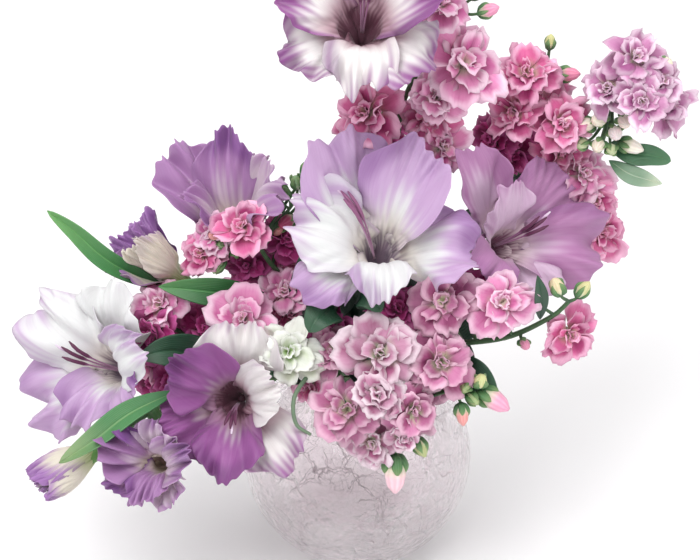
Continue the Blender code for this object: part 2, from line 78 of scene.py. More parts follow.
def srgb(code: str) -> tuple[float, ...]:
    """Turns six hex digits of sRGB to linear red, green, blue and an alpha of one."""
    parts = [int(code[i : i + 2], 16) / 255 for i in (0, 2, 4)]
    return *(c / 12.92 if c <= 0.04045 else ((c + 0.055) / 1.055) ** 2.4 for c in parts), 1.0


def tint(code: str) -> Grid:
    """A hex colour as an array, for mixing pigments point by point."""
    return np.array(srgb(code)[:3])


def smooth(low: float, high: float, x: Grid) -> Grid:
    """Rises smoothly from 0 at low to 1 at high."""
    t = np.clip((x - low) / (high - low), 0, 1)
    return t * t * (3 - 2 * t)


def layered(ground: Grid, *coats: tuple[Grid, Grid]) -> Grid:
    """Lays coats of pigment over a ground.

    Args:
        ground: One linear colour.
        *coats: A colour, and how much of it each point takes.

    Returns:
        A colour for each point.
    """
    colour = ground
    for coat, share in coats:
        colour = colour + (coat - colour) * np.clip(share, 0, 1)[..., None]
    return colour


# ---------------------------------------------------------------- nodes and finishes


def adjust(node: bpy.types.Node, settings: dict) -> None:
    """Sets a node's properties, and its input values by socket name or number."""
    for name, value in settings.items():
        if isinstance(name, int) or name in node.inputs:
            node.inputs[name].default_value = value
        else:
            setattr(node, name, value)


def feed(tree: Tree, node: bpy.types.Node, **links: Socket) -> None:
    """Links outputs to a node's inputs, named with underscores for spaces or as _ and a number."""
    for name, source in links.items():
        key = int(name[1:]) if name[1:].isdigit() else name.replace("_", " ")
        tree.links.new(source, node.inputs[key])


def add_node(tree: Tree, kind: str, settings: dict | None = None, **links: Socket):
    """Adds a node with its settings and links.

    Args:
        tree: The material's tree.
        kind: The node's type name, after ShaderNode.
        settings: What adjust sets.
        **links: What feed links.

    Returns:
        The node's outputs.
    """
    node = tree.nodes.new(f"ShaderNode{kind}")
    adjust(node, settings or {})
    feed(tree, node, **links)
    return node.outputs


def blank(name: str, settings: dict) -> tuple[Material, Tree, bpy.types.Node]:
    """A new material with its tree and its Principled shader, whose values are set."""
    made = bpy.data.materials.new(name)
    made.use_nodes = True
    shader = made.node_tree.nodes["Principled BSDF"]
    adjust(shader, settings)
    return made, made.node_tree, shader


@dataclass(frozen=True)
class PlantSkin:
    """The skin of a petal or a leaf: pigment that the maker lays down point by point, with a
    pattern that shifts its colour and stands a little proud."""

    name: str
    count: float
    roughness: float

    def pattern(self, tree: Tree, uv: Socket) -> tuple:
        """Draws the pattern: its height, and how far it shifts the colour."""
        raise NotImplementedError

    def grown(self, settings: dict, shift: dict, strength: float, proud: float) -> Material:
        """Builds the material.

        Args:
            settings: The shader's values, beside its roughness.
            shift: The change of hue where the pattern shows.
            strength: How strong the relief is.
            proud: How far it stands out, in metres.

        Returns:
            The material.
        """
        made, tree, shader = blank(self.name, {"Roughness": self.roughness, **settings})
        height, share = self.pattern(tree, add_node(tree, "UVMap", {"uv_map": "UVMap"})["UV"])
        pigment = add_node(tree, "Attribute", {"attribute_name": "pigment"})["Color"]
        shifted = add_node(tree, "HueSaturation", shift, Color=pigment)["Color"]
        mixed = add_node(tree, "Mix", {"data_type": "RGBA"}, _0=share, _6=pigment, _7=shifted)
        bump = add_node(tree, "Bump", {"Strength": strength, "Distance": proud}, Height=height)
        feed(tree, shader, Base_Color=mixed[2], Normal=bump["Normal"])
        return made


@dataclass(frozen=True)
class PetalFinish(PlantSkin):
    """A fresh petal: fine veins along it and the satin of a waxy skin. Light passes into it a
    little, which softens its folds."""

    vein_depth: float
    glow: float

    def pattern(self, tree: Tree, uv: Socket) -> tuple:
        """Veins run from the claw to the margin, so the noise is stretched along the petal."""
        along = add_node(tree, "Mapping", {"Scale": (self.count, 2.2, 1)}, Vector=uv)["Vector"]
        noise = {"Scale": 1.0, "Detail": 3.0, "Roughness": 0.6}
        veins = add_node(tree, "TexNoise", noise, Vector=along)["Fac"]
        span = {"From Min": 0.48, "From Max": 0.72, "To Min": 0.0, "To Max": self.vein_depth}
        return veins, add_node(tree, "MapRange", span, Value=veins)["Result"]

    def make(self) -> Material:
        """Builds the material."""
        scatter = {"Weight": self.glow, "Radius": (1.0, 0.75, 0.85), "Scale": 0.004}
        gloss = {"Sheen Weight": 0.15, "Sheen Roughness": 0.4, "Specular IOR Level": 0.35}
        settings = {f"Subsurface {name}": value for name, value in scatter.items()} | gloss
        return self.grown(settings, {"Saturation": 1.35, "Value": 0.8}, 0.35, 0.0006)


@dataclass(frozen=True)
class GreenFinish(PlantSkin):
    """Leaf and stem skin: ribs along the blade, under a mottled bloom of pale wax."""

    coat: float

    def pattern(self, tree: Tree, uv: Socket) -> tuple:
        """Ribs run along, and the wax lies on them in soft patches 3 to 4 mm across."""
        wave = {"bands_direction": "X", "Scale": self.count, "Distortion": 0.6, "Detail": 2.0}
        ribs = add_node(tree, "TexWave", wave, Vector=uv)["Fac"]
        place = add_node(tree, "TexCoord")["Object"]
        mottle = add_node(tree, "TexNoise", {"Scale": 300.0, "Detail": 4.0}, Vector=place)["Fac"]
        return ribs, add_node(tree, "Math", {"operation": "MULTIPLY"}, _0=ribs, _1=mottle)["Value"]

    def make(self) -> Material:
        """Builds the material."""
        settings = {"Coat Weight": self.coat, "Coat Roughness": 0.35}
        settings |= {"Subsurface Weight": 0.08, "Subsurface Scale": 0.002}
        return self.grown(settings, {"Saturation": 0.8, "Value": 1.28}, 0.3, 0.0005)


@dataclass(frozen=True)
class CrackleGlass:
    """Soda-lime glass, blown, crazed in water while hot and fired again: clear, faintly pink,
    with a net of fine cracks inside the wall that catch the light, over a smooth skin."""

    name: str = "soda_lime_glass_crackled_and_fire_polished"
    clear: str = "FFF0F6"
    cracked: str = "6E5E66"

    def _cracks(self, tree: Tree, bent: Socket, scale: float, width: float):
        """Draws the thin lines between cells, a share of a cell wide."""
        cell = {"feature": "DISTANCE_TO_EDGE", "Scale": scale}
        far = add_node(tree, "TexVoronoi", cell, Vector=bent)["Distance"]
        span = {"From Min": 0.0, "From Max": width, "To Min": 1.0, "To Max": 0.0}
        return add_node(tree, "MapRange", span, Value=far)["Result"]

    def _net(self, tree: Tree, place: Socket, bent: Socket):
        """Joins wide cracks 16 mm apart, broken here and there, and patches of a net of 7 mm."""
        kept = []
        for lines, scale, detail, span in (
            ((62.0, 0.035), 38.0, 2.0, {"From Min": 0.42, "From Max": 0.54, "To Min": 0.08, "To Max": 1.0}),
            ((150.0, 0.05), 45.0, 1.0, {"From Min": 0.5, "From Max": 0.62, "To Max": 0.7}),
        ):
            ground = place if kept else bent
            patches = add_node(tree, "TexNoise", {"Scale": scale, "Detail": detail}, Vector=ground)["Fac"]
            gate = add_node(tree, "MapRange", span, Value=patches)["Result"]
            cracks = self._cracks(tree, bent, *lines)
            kept.append(add_node(tree, "Math", {"operation": "MULTIPLY"}, _0=cracks, _1=gate)["Value"])
        return add_node(tree, "Math", {"operation": "MAXIMUM"}, _0=kept[0], _1=kept[1])["Value"]

    def make(self) -> Material:
        """Builds the material."""
        made, tree, shader = blank(self.name, {"Transmission Weight": 1.0, "IOR": 1.45})
        place = add_node(tree, "TexCoord")["Object"]
        # Cracks wander, so their net is bent by a soft noise 12 mm across.
        bend = add_node(tree, "TexNoise", {"Scale": 80.0, "Detail": 2.0}, Vector=place)["Color"]
        push = {"data_type": "RGBA", "blend_type": "LINEAR_LIGHT", 0: 0.006}
        bent = add_node(tree, "Mix", push, _6=place, _7=bend)[2]
        net = self._net(tree, place, bent)
        ends = {"data_type": "RGBA", 6: srgb(self.clear), 7: srgb(self.cracked)}
        hue = add_node(tree, "Mix", ends, _0=net)[2]
        rough = add_node(tree, "MapRange", {"To Min": 0.02, "To Max": 0.3}, Value=net)["Result"]
        seen = add_node(tree, "MapRange", {"To Min": 0.38, "To Max": 0.95}, Value=net)["Result"]
        # Between the cracks the skin is dimpled, and each dimple glints.
        dimples = add_node(tree, "TexVoronoi", {"feature": "F1", "Scale": 170.0}, Vector=bent)["Distance"]
        wavy = add_node(tree, "Bump", {"Strength": 0.7, "Distance": 0.0010}, Height=dimples)["Normal"]
        sharp = {"Strength": 0.3, "Distance": 0.0004}
        bump = add_node(tree, "Bump", sharp, Height=net, Normal=wavy)["Normal"]
        feed(tree, shader, Base_Color=hue, Roughness=rough, Normal=bump, Alpha=seen)
        return made


@dataclass(frozen=True)
class PaperFinish:
    """The stand's pale seamless paper: matt, with a faint grain."""

    name: str = "seamless_backdrop_paper"

    def make(self) -> Material:
        """Builds the material."""
        made, tree, shader = blank(self.name, {"Base Color": srgb("FBFAFB"), "Roughness": 0.9})
        grain = add_node(tree, "TexNoise", {"Scale": 900.0})["Fac"]
        feed(tree, shader, Normal=add_node(tree, "Bump", {"Strength": 0.05}, Height=grain)["Normal"])
        return made


class Finish(Enum):
    """The finishes that pieces are dressed in."""

    GLADIOLUS = PetalFinish("gladiolus_tepal_fresh_satin", 46.0, 0.5, 0.35, 0.18)
    STOCK = PetalFinish("stock_petal_fresh_downy", 22.0, 0.6, 0.3, 0.16)
    ANTHER = PetalFinish("gladiolus_stamen_waxy", 8.0, 0.45, 0.2, 0.1)
    LEAF = GreenFinish("leaf_waxy_dark_green", 5.0, 0.45, 0.15)
    STEM = GreenFinish("stem_downy_green", 3.0, 0.6, 0.0)
    GLASS = CrackleGlass()
    PAPER = PaperFinish()


class Wardrobe:
    """Makes each finish once."""

    def __init__(self) -> None:
        """Starts empty."""
        self._made: dict[Finish, Material] = {}

    def dress(self, piece: Piece, finish: Finish) -> None:
        """Gives a mesh piece the one finish it wears."""
        if finish not in self._made:
            self._made[finish] = finish.value.make()
        piece.data.materials.clear()
        piece.data.materials.append(self._made[finish])


# ---------------------------------------------------------------- shaping by hand


def deselect() -> None:
    """Leaves nothing selected."""
    bpy.ops.object.select_all(action="DESELECT")


def joined(pieces: list[Piece], name: str) -> Piece:
    """Joins pieces into the first of them.

    Args:
        pieces: At least one mesh piece.
        name: The joined piece's name.

    Returns:
        The joined piece.
    """
    deselect()
    for piece in pieces:
        piece.select_set(True)
    bpy.context.view_layer.objects.active = pieces[0]
    if len(pieces) > 1:
        bpy.ops.object.join()
    pieces[0].name = pieces[0].data.name = name
    return pieces[0]


def thickened(piece: Piece, wall: float) -> Piece:
    """Gives a shaped sheet its wall, half of it to each side.

    Args:
        piece: The sheet.
        wall: How thick it becomes.

    Returns:
        The same piece.
    """
    solid = piece.modifiers.new("thickness", "SOLIDIFY")
    solid.thickness = wall * MM
    solid.offset = 0
    deselect()
    piece.select_set(True)
    bpy.context.view_layer.objects.active = piece
    bpy.ops.object.modifier_apply(modifier=solid.name)
    return piece


def painted(pattern: Piece, name: str, points: Grid, pigment: Grid) -> Piece:
    """Copies a pattern with its points moved and coloured.

    Args:
        pattern: The piece to copy.
        name: The copy's name.
        points: Where each point goes, in metres.
        pigment: The linear colour of each.

    Returns:
        The copy, with its own mesh, in the scene.
    """
    mesh = pattern.data.copy()
    mesh.vertices.foreach_set("co", np.ascontiguousarray(points, np.float32).ravel())
    colours = np.ones((len(pigment), 4), np.float32)
    colours[:, :3] = pigment
    mesh.color_attributes.new("pigment", "FLOAT_COLOR", "POINT").data.foreach_set("color", colours.ravel())
    mesh.shade_smooth()
    piece = bpy.data.objects.new(name, mesh)
    bpy.context.collection.objects.link(piece)
    return piece


def corners(piece: Piece) -> Grid:
    """A piece's points, as columns of x, y and z."""
    flat = np.empty(len(piece.data.vertices) * 3)
    piece.data.vertices.foreach_get("co", flat)
    return flat.reshape(-1, 3).T


@dataclass
class Sheet:
    """Flat grids that petals and leaves are shaped from: each use is a copy with its own mesh."""

    columns: int
    rows: int
    count: int = 1

    def __post_init__(self) -> None:
        """Adds the grids and reads their points as u across, -1 to 1, and v along, 0 to 1."""
        grids = []
        for number in range(self.count):
            deselect()
            bpy.ops.mesh.primitive_grid_add(x_subdivisions=self.columns, y_subdivisions=self.rows, size=2)
            grids.append(bpy.context.active_object)
            layer = grids[-1].data.uv_layers.active.uv
            spots = np.empty(len(layer) * 2, np.float32)
            layer.foreach_get("vector", spots)
            # Each grid has a stretch of the pattern to itself.
            spots[0::2] += 3.7 * number
            spots[1::2] += 1.3 * number
            layer.foreach_set("vector", spots)
        block = len(grids[0].data.vertices)
        self.pattern = joined(grids, "sheet_pattern")
        x, y, _z = np.round(corners(self.pattern)[:, :block], 5)
        first = np.lexsort((x, y)).reshape(self.rows + 1, self.columns + 1)
        self.order = np.stack([first + block * k for k in range(self.count)]).ravel()
        self.u, self.v = x[first], (y[first] + 1) / 2

    def shaped(self, name: str, points: Grid, pigment: Grid, wall: float) -> Piece:
        """Copies the grids with their points moved.

        Args:
            name: The copy's name.
            points: Where each point goes, in metres, as grids by rows by columns by 3.
            pigment: The linear colour of each.
            wall: How thick it is.

        Returns:
            The copy.
        """
        places, colours = np.empty((2, len(self.order), 3), np.float32)
        places[self.order] = points.reshape(-1, 3)
        colours[self.order] = pigment.reshape(-1, 3)
        return thickened(painted(self.pattern, name, places, colours), wall)


@dataclass
class Round:
    """A closed round body that stems, buds and anthers are drawn out of, ring by ring."""

    sides: int
    rings: int

    def __post_init__(self) -> None:
        """Adds a ball and reads each point's turn about its axis and its ring, from the foot."""
        deselect()
        bpy.ops.mesh.primitive_uv_sphere_add(segments=self.sides, ring_count=self.rings + 2, radius=1)
        self.pattern = bpy.context.active_object
        x, y, z = corners(self.pattern)
        self.turn = np.arctan2(y, x)
        level = np.rint((1 - np.arccos(np.clip(z, -1, 1)) / math.pi) * (self.rings + 2)).astype(int)
        # The poles stay with the first and last ring, so that a cut end is flat.
        self.at = np.clip(level - 1, 0, self.rings)
        self.pole = (level == 0) | (level == self.rings + 2)

    def drawn(
        self, name: str, route: list[Vector], radii: Stops, colours: Shades, lobes: int = 0, depth: float = 0.0
    ) -> Piece:
        """Draws the body out along a route.

        Args:
            name: The piece's name.
            route: Places along it, in metres.
            radii: Share of the way, and radius.
            colours: Share of the way, and hex colour.
            lobes: How many ridges run along it.
            depth: How deep the grooves between them are, as a share of the radius.

        Returns:
            The closed body.
        """
        stations = np.linspace(0, 1, self.rings + 1)
        place, way = route_of(route, stations)
        side = np.cross(way[0], (0.0, 0.0, 1.0))
        if np.linalg.norm(side) < 0.1:
            side = np.cross(way[0], (0.0, 1.0, 0.0))
        first = np.empty_like(way)
        for i, direction in enumerate(way):
            side = side - direction * (side @ direction)
            side /= np.linalg.norm(side)
            first[i] = side
        second = np.cross(way, first)
        size = np.interp(stations, *zip(*radii)) * MM
        reach = np.where(self.pole, 0.0, size[self.at]) * (1 + depth * np.cos(lobes * self.turn))
        across = np.cos(self.turn)[:, None] * first[self.at] + np.sin(self.turn)[:, None] * second[self.at]
        stops, codes = zip(*colours)
        shades = np.array([tint(code) for code in codes]).T
        paint = np.stack([np.interp(stations[self.at], stops, shade) for shade in shades], 1)
        return painted(self.pattern, name, place[self.at] + reach[:, None] * across, paint)


class Waver:
    """A smooth seeded waver: a sum of a few sines, the same on every run."""

    def __init__(self, seed: int, terms: int = 4) -> None:
        """Draws the sines."""
        draw = np.random.default_rng(seed)
        self.pitch = draw.uniform(0.6, 1.6, (terms, 2)) * draw.choice([-1, 1], (terms, 2))
        self.phase = draw.uniform(0, math.tau, terms)

    def at(self, x: Grid, y: Grid) -> Grid:
        """Reads the waver at each point, from about -1 to 1."""
        sines = (np.sin(a * x + b * y + phase) for (a, b), phase in zip(self.pitch, self.phase))
        return sum(sines) / len(self.phase) ** 0.5 / 1.2


def cubic(t: Grid | float) -> tuple:
    """The shares of a cubic curve's four control points."""
    return (1 - t) ** 3, 3 * t * (1 - t) ** 2, 3 * t * t * (1 - t), t**3


def paced(curve: Grid, shares: Grid) -> tuple[Grid, Grid]:
    """Walks a fine curve at an even pace.

    Args:
        curve: Its points, one to a row.
        shares: Shares of the way.

    Returns:
        The places, and the unit directions there.
    """
    steps = np.linalg.norm(np.diff(curve, axis=0), axis=1)
    pace = np.concatenate([[0], np.cumsum(steps)]) / steps.sum()
    rows = (curve, np.gradient(curve, axis=0))
    place, way = (np.stack([np.interp(shares, pace, c) for c in row.T], 1) for row in rows)
    return place, way / np.linalg.norm(way, axis=1)[:, None]


def route_of(points: list[Vector], shares: Grid) -> tuple[Grid, Grid]:
    """Draws a Catmull-Rom curve and walks it at an even pace.

    Args:
        points: At least two places on it, in metres.
        shares: Shares of the way.

    Returns:
        The places, and the unit directions there.
    """
    knots = np.array([p[:] for p in points])
    knots = np.vstack([2 * knots[0] - knots[1], knots, 2 * knots[-1] - knots[-2]])
    fine = []
    for a, b, c, d in zip(knots, knots[1:], knots[2:], knots[3:]):
        square, cube = 2 * a - 5 * b + 4 * c - d, 3 * b - a - 3 * c + d
        for t in np.linspace(0, 1, 12, endpoint=False):
            fine.append(0.5 * (2 * b + t * (c - a) + t * t * square + t**3 * cube))
    return paced(np.array([*fine, knots[-2]]), shares)


def walked(heading: Grid, step: float) -> list[Grid]:
    """How far out and how high a walk has come at each heading, a step apart."""
    return [np.concatenate([[0], np.cumsum(part(heading[:-1]))]) * step for part in (np.cos, np.sin)]


def about(angle: float, outward: Grid, side: Grid, height: Grid) -> Grid:
    """Points at an angle about a flower's axis, from how far out, aside and up they are."""
    cos, sin = math.cos(angle), math.sin(angle)
    return np.stack([outward * cos + side * sin, outward * sin - side * cos, height], -1)


# ---------------------------------------------------------------- where things stand


@dataclass
class Bench:
    """What the makers work with: the mouth's middle and the patterns that pieces are copied from."""

    mouth: Vector
    tepals: Sheet = field(default_factory=lambda: Sheet(56, 42, 6))
    petals: Sheet = field(default_factory=lambda: Sheet(10, 9, 20))
    blade: Sheet = field(default_factory=lambda: Sheet(16, 28))
    stem: Round = field(default_factory=lambda: Round(16, 40))
    twig: Round = field(default_factory=lambda: Round(10, 12))

    def at(self, place: Triple) -> Vector:
        """A place in metres, in the frame's own axes."""
        return self.mouth + Vector(place) * MM

    def clear(self) -> None:
        """Removes the patterns."""
        for tool in (self.tepals, self.petals, self.blade, self.stem, self.twig):
            bpy.data.objects.remove(tool.pattern, do_unlink=True)


@dataclass(frozen=True)
class Facing:
    """Where a flower's face stands and which way it looks."""

    place: Triple
    looks: Triple
    size: float = 1.0

    @property
    def ahead(self) -> Vector:
        """The way it looks, of length one."""
        return Vector(self.looks).normalized()

    def frame(self, bench: Bench) -> Matrix:
        """Its own axes: X to the right, Y up and Z the way it looks, as a viewer sees it.

        Args:
            bench: Where the mouth is.

        Returns:
            The matrix from its own metres to the frame's.
        """
        up = UP - self.ahead * self.ahead.z
        if up.length < 0.05:
            up = Vector((0, 1, 0))
        up.normalize()
        axes = Matrix((up.cross(self.ahead), up, self.ahead)).transposed().to_4x4()
        return Matrix.Translation(bench.at(self.place)) @ axes

    def moved(self, points: Grid, bench: Bench) -> Grid:
        """Takes points in its own axes and millimetres to the frame's metres."""
        frame = self.frame(bench)
        return points * MM @ np.array(frame.to_3x3()).T + np.array(frame.translation)


@dataclass(frozen=True)
class StemLine:
    """A stem: its slot in the neck, its route above it and its radius."""

    slot: tuple[float, float]
    route: tuple[Triple, ...]
    radius: float = 2.5
    cut_depth: float = 58.0
    tip_share: float = 0.55

    def points(self, bench: Bench) -> list[Vector]:
        """The places along it, from the cut end."""
        low = [(*self.slot, -depth) for depth in (self.cut_depth, self.cut_depth / 2, 0)]
        return [bench.at(place) for place in (*low, *self.route)]

    def nearest(self, bench: Bench, spot: Vector) -> Vector:
        """Finds where a neck leaves the stem.

        Args:
            bench: Where the mouth is.
            spot: A place in metres.

        Returns:
            The place on the stem, above the mouth, that is nearest to the spot.
        """
        place, _way = route_of(self.points(bench), np.linspace(0, 1, 80))
        above = place[place[:, 2] > bench.mouth.z + 0.004]
        return Vector(above[np.argmin(np.linalg.norm(above - np.array(spot), axis=1))])

    def stalk(self, bench: Bench, colours: Shades, lobes: int = 0, depth: float = 0.0) -> Piece:
        """Draws the stem, thinner towards its tip, in the colours and with the ribs it is given."""
        radii = [(0, self.radius), (0.5, self.radius * 0.9), (1, self.radius * self.tip_share)]
        return bench.stem.drawn("stalk", self.points(bench), radii, colours, lobes, depth)


def bent_neck(start: Vector, end: Vector, arriving: Vector) -> list[Vector]:
    """The route of a flower's neck.

    Args:
        start: Where it leaves the stem.
        end: The back of the flower's head.
        arriving: The way that the head looks.

    Returns:
        Five places along the bend.
    """
    reach = (end - start).length / 2.6
    outward = (end - start).normalized()
    control = [start, start + outward * reach, end - arriving * reach, end]
    return [sum((c * w for w, c in zip(cubic(t), control)), Vector()) for t in np.linspace(0, 1, 5)]


# ---------------------------------------------------------------- gladioli


@dataclass(frozen=True)
class TepalPaint:
    """A gladiolus's colours, from its throat to the rim of its tepals, and how far the throat's
    reaches."""

    throat: str
    heart: str
    body: str
    blush: str
    rim: str
    reach: float


@dataclass(frozen=True)
class Tepal:
    """One of a bloom's six tepals. It points at an angle, seen from in front, anticlockwise
    from the right. Lift is how far its tip stands before the throat's mouth, curl how far the tip
    rolls back, cup how its sides bend forwards, hue how much of it is coloured, throat how wide
    the funnel is where it opens, as a share of the length, and lean how far its tip is aside."""

    angle: float
    length: float
    width: float
    lift: float
    curl: float
    cup: float
    hue: float
    ruffle: float
    throat: float = 0.36
    lean: float = 0.0


@dataclass(frozen=True)
class Bloom:
    """An open gladiolus flower: a bent tube that widens into six ruffled tepals."""

    name: str
    stem: str
    face: Facing
    paint: TepalPaint
    seed: int
    tepals: tuple[Tepal, ...]
    stamens: Triple | None = None
    anther: str = "5B2A48"
    slot: str = "gladiolus_lavender_petal"
    tube_radius: float = 2.8
    wall: float = 0.45

    @property
    def depth(self) -> float:
        """How far behind its face the tube begins."""
        return 55 * (0.55 + 0.45 * self.face.size)

    def _middle_line(self, tepal: Tepal, along: Grid) -> list[Grid]:
        """Reads a tepal's middle line: up the tube, out over the throat's lip and on to the tip.

        Args:
            tepal: The tepal.
            along: Share of the way, for each point.

        Returns:
            How far out and how high the line is there, and its heading.
        """
        stations = np.linspace(0, 1.15, 92)
        control = [
            (self.tube_radius, -self.depth),
            (self.tube_radius + 0.10 * tepal.length, -0.50 * self.depth),
            (tepal.throat * tepal.length, -0.10 * self.depth),
            (tepal.length, tepal.lift),
        ]
        curve = np.hstack(cubic(np.linspace(0, 1, 60)[:, None])) @ np.array(control, float)
        place, way = paced(curve, np.clip(stations, 0, 1))
        whole = int(np.argmin(np.abs(stations - 1)))
        travel = np.linalg.norm(np.diff(place[: whole + 1], axis=0), axis=1).sum()
        heading = np.arctan2(way[:, 1], way[:, 0]) - math.radians(tepal.curl) * smooth(0.55, 1.05, stations)
        out, rise = walked(heading, travel * (stations[1] - stations[0]))
        return [np.interp(along, stations, x) for x in (self.tube_radius + out, -self.depth + rise, heading)]

    def _tepal(self, sheet: Sheet, tepal: Tepal, number: int) -> tuple[Grid, Grid]:
        """Shapes and paints one tepal.

        Args:
            sheet: The flat grid.
            tepal: Its sizes.
            number: Its number, from 1. The even ones are the three in front.

        Returns:
            Its points, in the flower's own axes, and their pigment.
        """
        u, v = sheet.u, sheet.v
        half = tepal.width / 2
        seed = self.seed + number
        waver, slow = Waver(seed * 7 + 3), Waver(seed * 13 + 5)
        # A fan: the rim is broad and round, and away from the midrib the blade ends sooner.
        fan = np.arctan2(u * half, (v + 0.15) * tepal.length)
        scallop = 0.5 + 0.5 * np.sin(46 * fan + 14 * v + 4 * slow.at(u * 2, v * 3))
        near_rim = np.maximum(np.abs(u), v) ** 8
        tip = 1 - 0.20 * np.abs(u) ** 2.6
        tip = tip * (1 + 0.04 * waver.at(u * 4, v * 0) - 0.026 * scallop * near_rim)
        along = v * tip
        swell = 0.07 + 0.93 * smooth(0.08, 0.74, along)
        wide = half * swell * (1 - 0.22 * smooth(0.80, 1.0, along)) + self.tube_radius * 0.4
        across = u * wide * (1 - 0.03 * scallop * near_rim)
        # How near to the rim each point is, and how far round the rim.
        edge = 1 - (1 - np.abs(u) * smooth(0.15, 0.5, v)) * (1 - smooth(0.45, 1.0, v) ** 1.4)
        turn = np.arctan2(across, (along - 0.42) * tepal.length)
        r, z, a = self._middle_line(tepal, along)
        # Across, it wraps round the throat and opens to its own cup.
        wrap = 0.9 / np.maximum(r, 3.5)
        arc = across * (wrap + (tepal.cup - wrap) * smooth(0.26, 0.66, along))
        forward = across * (arc / 2) * np.sinc(arc / math.tau) ** 2
        # Ruffles grow towards the rim, over pleats that fan out from the throat.
        pleat = np.sin(15.0 * fan * 60 / tepal.width + 1.5 * slow.at(u, v * 2) + seed)
        ruffle = tepal.ruffle * (tepal.length / 60) * (
            4.0 * edge**2.2 * np.sin(7.5 * turn + 3.0 * waver.at(turn, along) + seed)
            + 1.4 * edge**3.6 * np.sin(19.0 * turn + 5.0 * slow.at(turn * 2, along) + 2 * seed)
            + 2.5 * edge**1.2 * pleat * smooth(0.3, 0.7, along)
            + 5.2 * edge * slow.at(turn * 1.1, along * 3)
        )
        midrib = -1.1 * np.exp(-((u / 0.08) ** 2)) * smooth(0.2, 0.4, along) * (1 - 0.6 * along)
        # The three in front lie clear of the three behind.
        layer = (1 if number % 2 == 0 else -1) * (0.4 + 3.6 * smooth(0.25, 0.65, along))
        front = forward + ruffle + midrib + layer
        side = across * np.sinc(arc / math.pi) + tepal.lean * along**2
        points = about(math.radians(tepal.angle), r - front * np.sin(a), side, z + front * np.cos(a))
        return points, self._pigment(tepal.hue, u, along, edge, turn, waver)

    def _pigment(self, hue: float, u: Grid, along: Grid, edge: Grid, turn: Grid, waver: Waver) -> Grid:
        """Paints a tepal: dusky throat, pale heart, white body, lavender blush and purple rim.

        Args:
            hue: How much of it is coloured.
            u: Place across it.
            along: Place along it.
            edge: Nearness to its rim.
            turn: Place round its rim.
            waver: Its own unevenness.

        Returns:
            A linear colour for each point.
        """
        streaks = 0.07 * np.sin(u * 31 + 2 * waver.at(u * 3, along)) + 0.07 * waver.at(u * 9, along * 1.5)
        start = self.paint.reach
        spread = 0.55 * edge + 0.45 * along + streaks + 0.12 * waver.at(turn, along * 2)
        blush = smooth(1.0 - hue, 1.0 - hue + 0.45, spread) * smooth(0.3, 0.6, along)
        rim = smooth(0.72, 1.02, edge + 0.10 * waver.at(turn * 2, along)) * min(1.0, 0.15 + hue * 0.9)
        rim = rim * (0.15 + 0.85 * smooth(-0.1, 0.9, waver.at(turn * 1.4, along)))
        return layered(
            tint(self.paint.throat),
            (tint(self.paint.heart), smooth(start - 0.12, start + 0.12, along + 0.5 * streaks)),
            (tint(self.paint.body), smooth(start + 0.04, start + 0.26, along)),
            (tint(self.paint.blush), blush),
            (tint(self.paint.rim), rim),
        )

    def build(self, bench: Bench) -> Piece:
        """Builds the flower's six tepals as one piece with a real thickness.

        Args:
            bench: The patterns and the mouth.

        Returns:
            The piece.
        """
        made = [self._tepal(bench.tepals, t, number) for number, t in enumerate(self.tepals, 1)]
        points = np.stack([self.face.moved(p, bench) for p, _c in made])
        name = f"gladiolus_bloom_{self.name}"
        return bench.tepals.shaped(name, points, np.stack([c for _p, c in made]), self.wall)

    def neck(self, bench: Bench, stem: StemLine) -> list[Piece]:
        """Draws the flower's tube from its stem, and the green sheath at its foot.

        Args:
            bench: The patterns and the mouth.
            stem: The stem that it grows on.

        Returns:
            The two pieces.
        """
        ahead = self.face.ahead
        back = bench.at(self.face.place) - ahead * (self.depth + 2.4) * MM
        start = stem.nearest(bench, back)
        route = bent_neck(start, back + ahead * 3 * MM, ahead)
        throat = self.paint.throat
        shades = [(0, "5E7F4A"), (0.3, "A9B98A"), (0.6, "D9D6C6"), (0.94, "DDD3D2")]
        shades += [(0.95, throat), (1, throat)]
        radii = [(0, 3.4), (0.12, 3.8), (0.3, 2.6), (1, self.tube_radius)]
        clasp = [start, start.lerp(route[1], 0.6) + UP * 2 * MM, route[2]]
        greens = [(0, "3F6B3A"), (0.6, "5C8A4C"), (1, "8F9A6A")]
        return [
            bench.twig.drawn("tube", route, radii, shades),
            bench.twig.drawn("sheath", clasp, [(0, 4.6), (0.35, 5.4), (0.7, 3.6), (1, 0.3)], greens, 2, 0.16),
        ]

    def filaments(self, bench: Bench) -> Piece:
        """Draws three stamens and the style, which lie along the upper side of the throat.

        Args:
            bench: The patterns and the mouth.

        Returns:
            The four as one piece.
        """
        angle, reach, width = self.stamens
        frame = self.face.frame(bench)
        anther = [(0, 0.55), (0.62, 0.5), (0.66, 1.25), (0.97, 1.15), (1, 0.4)]
        dark = [(0, "B995AE"), (0.6, "8E5C80"), (0.66, self.anther), (1, self.anther)]
        style = [(0, 0.5), (0.86, 0.42), (0.93, 1.0), (1, 0.5)]
        pale = [(0, "D8C0D0"), (0.85, "B891B5"), (1, "E6D9E8")]
        pieces = []
        for spread, share in ((-13, 0.92), (2, 1.0), (15, 0.86), (5, 1.18)):
            a = math.radians(angle + spread * width)
            out = Vector((math.cos(a), math.sin(a), 0))
            far = reach * share
            # How far out it is at each place, and how high over the throat's mouth.
            stops = [(2.2, -0.62 * self.depth), (far * 0.30, -0.25 * self.depth)]
            stops += [(far * 0.62, 2.0), (far * 0.86, 6.0), (far, 7.0)]
            route = [frame @ ((out * away + UP * height) * MM) for away, height in stops]
            pieces.append(bench.twig.drawn("stamen", route, *((style, pale) if share > 1 else (anther, dark))))
        return joined(pieces, f"gladiolus_stamens_{self.name}")


# ---------------------------------------------------------------- double stock


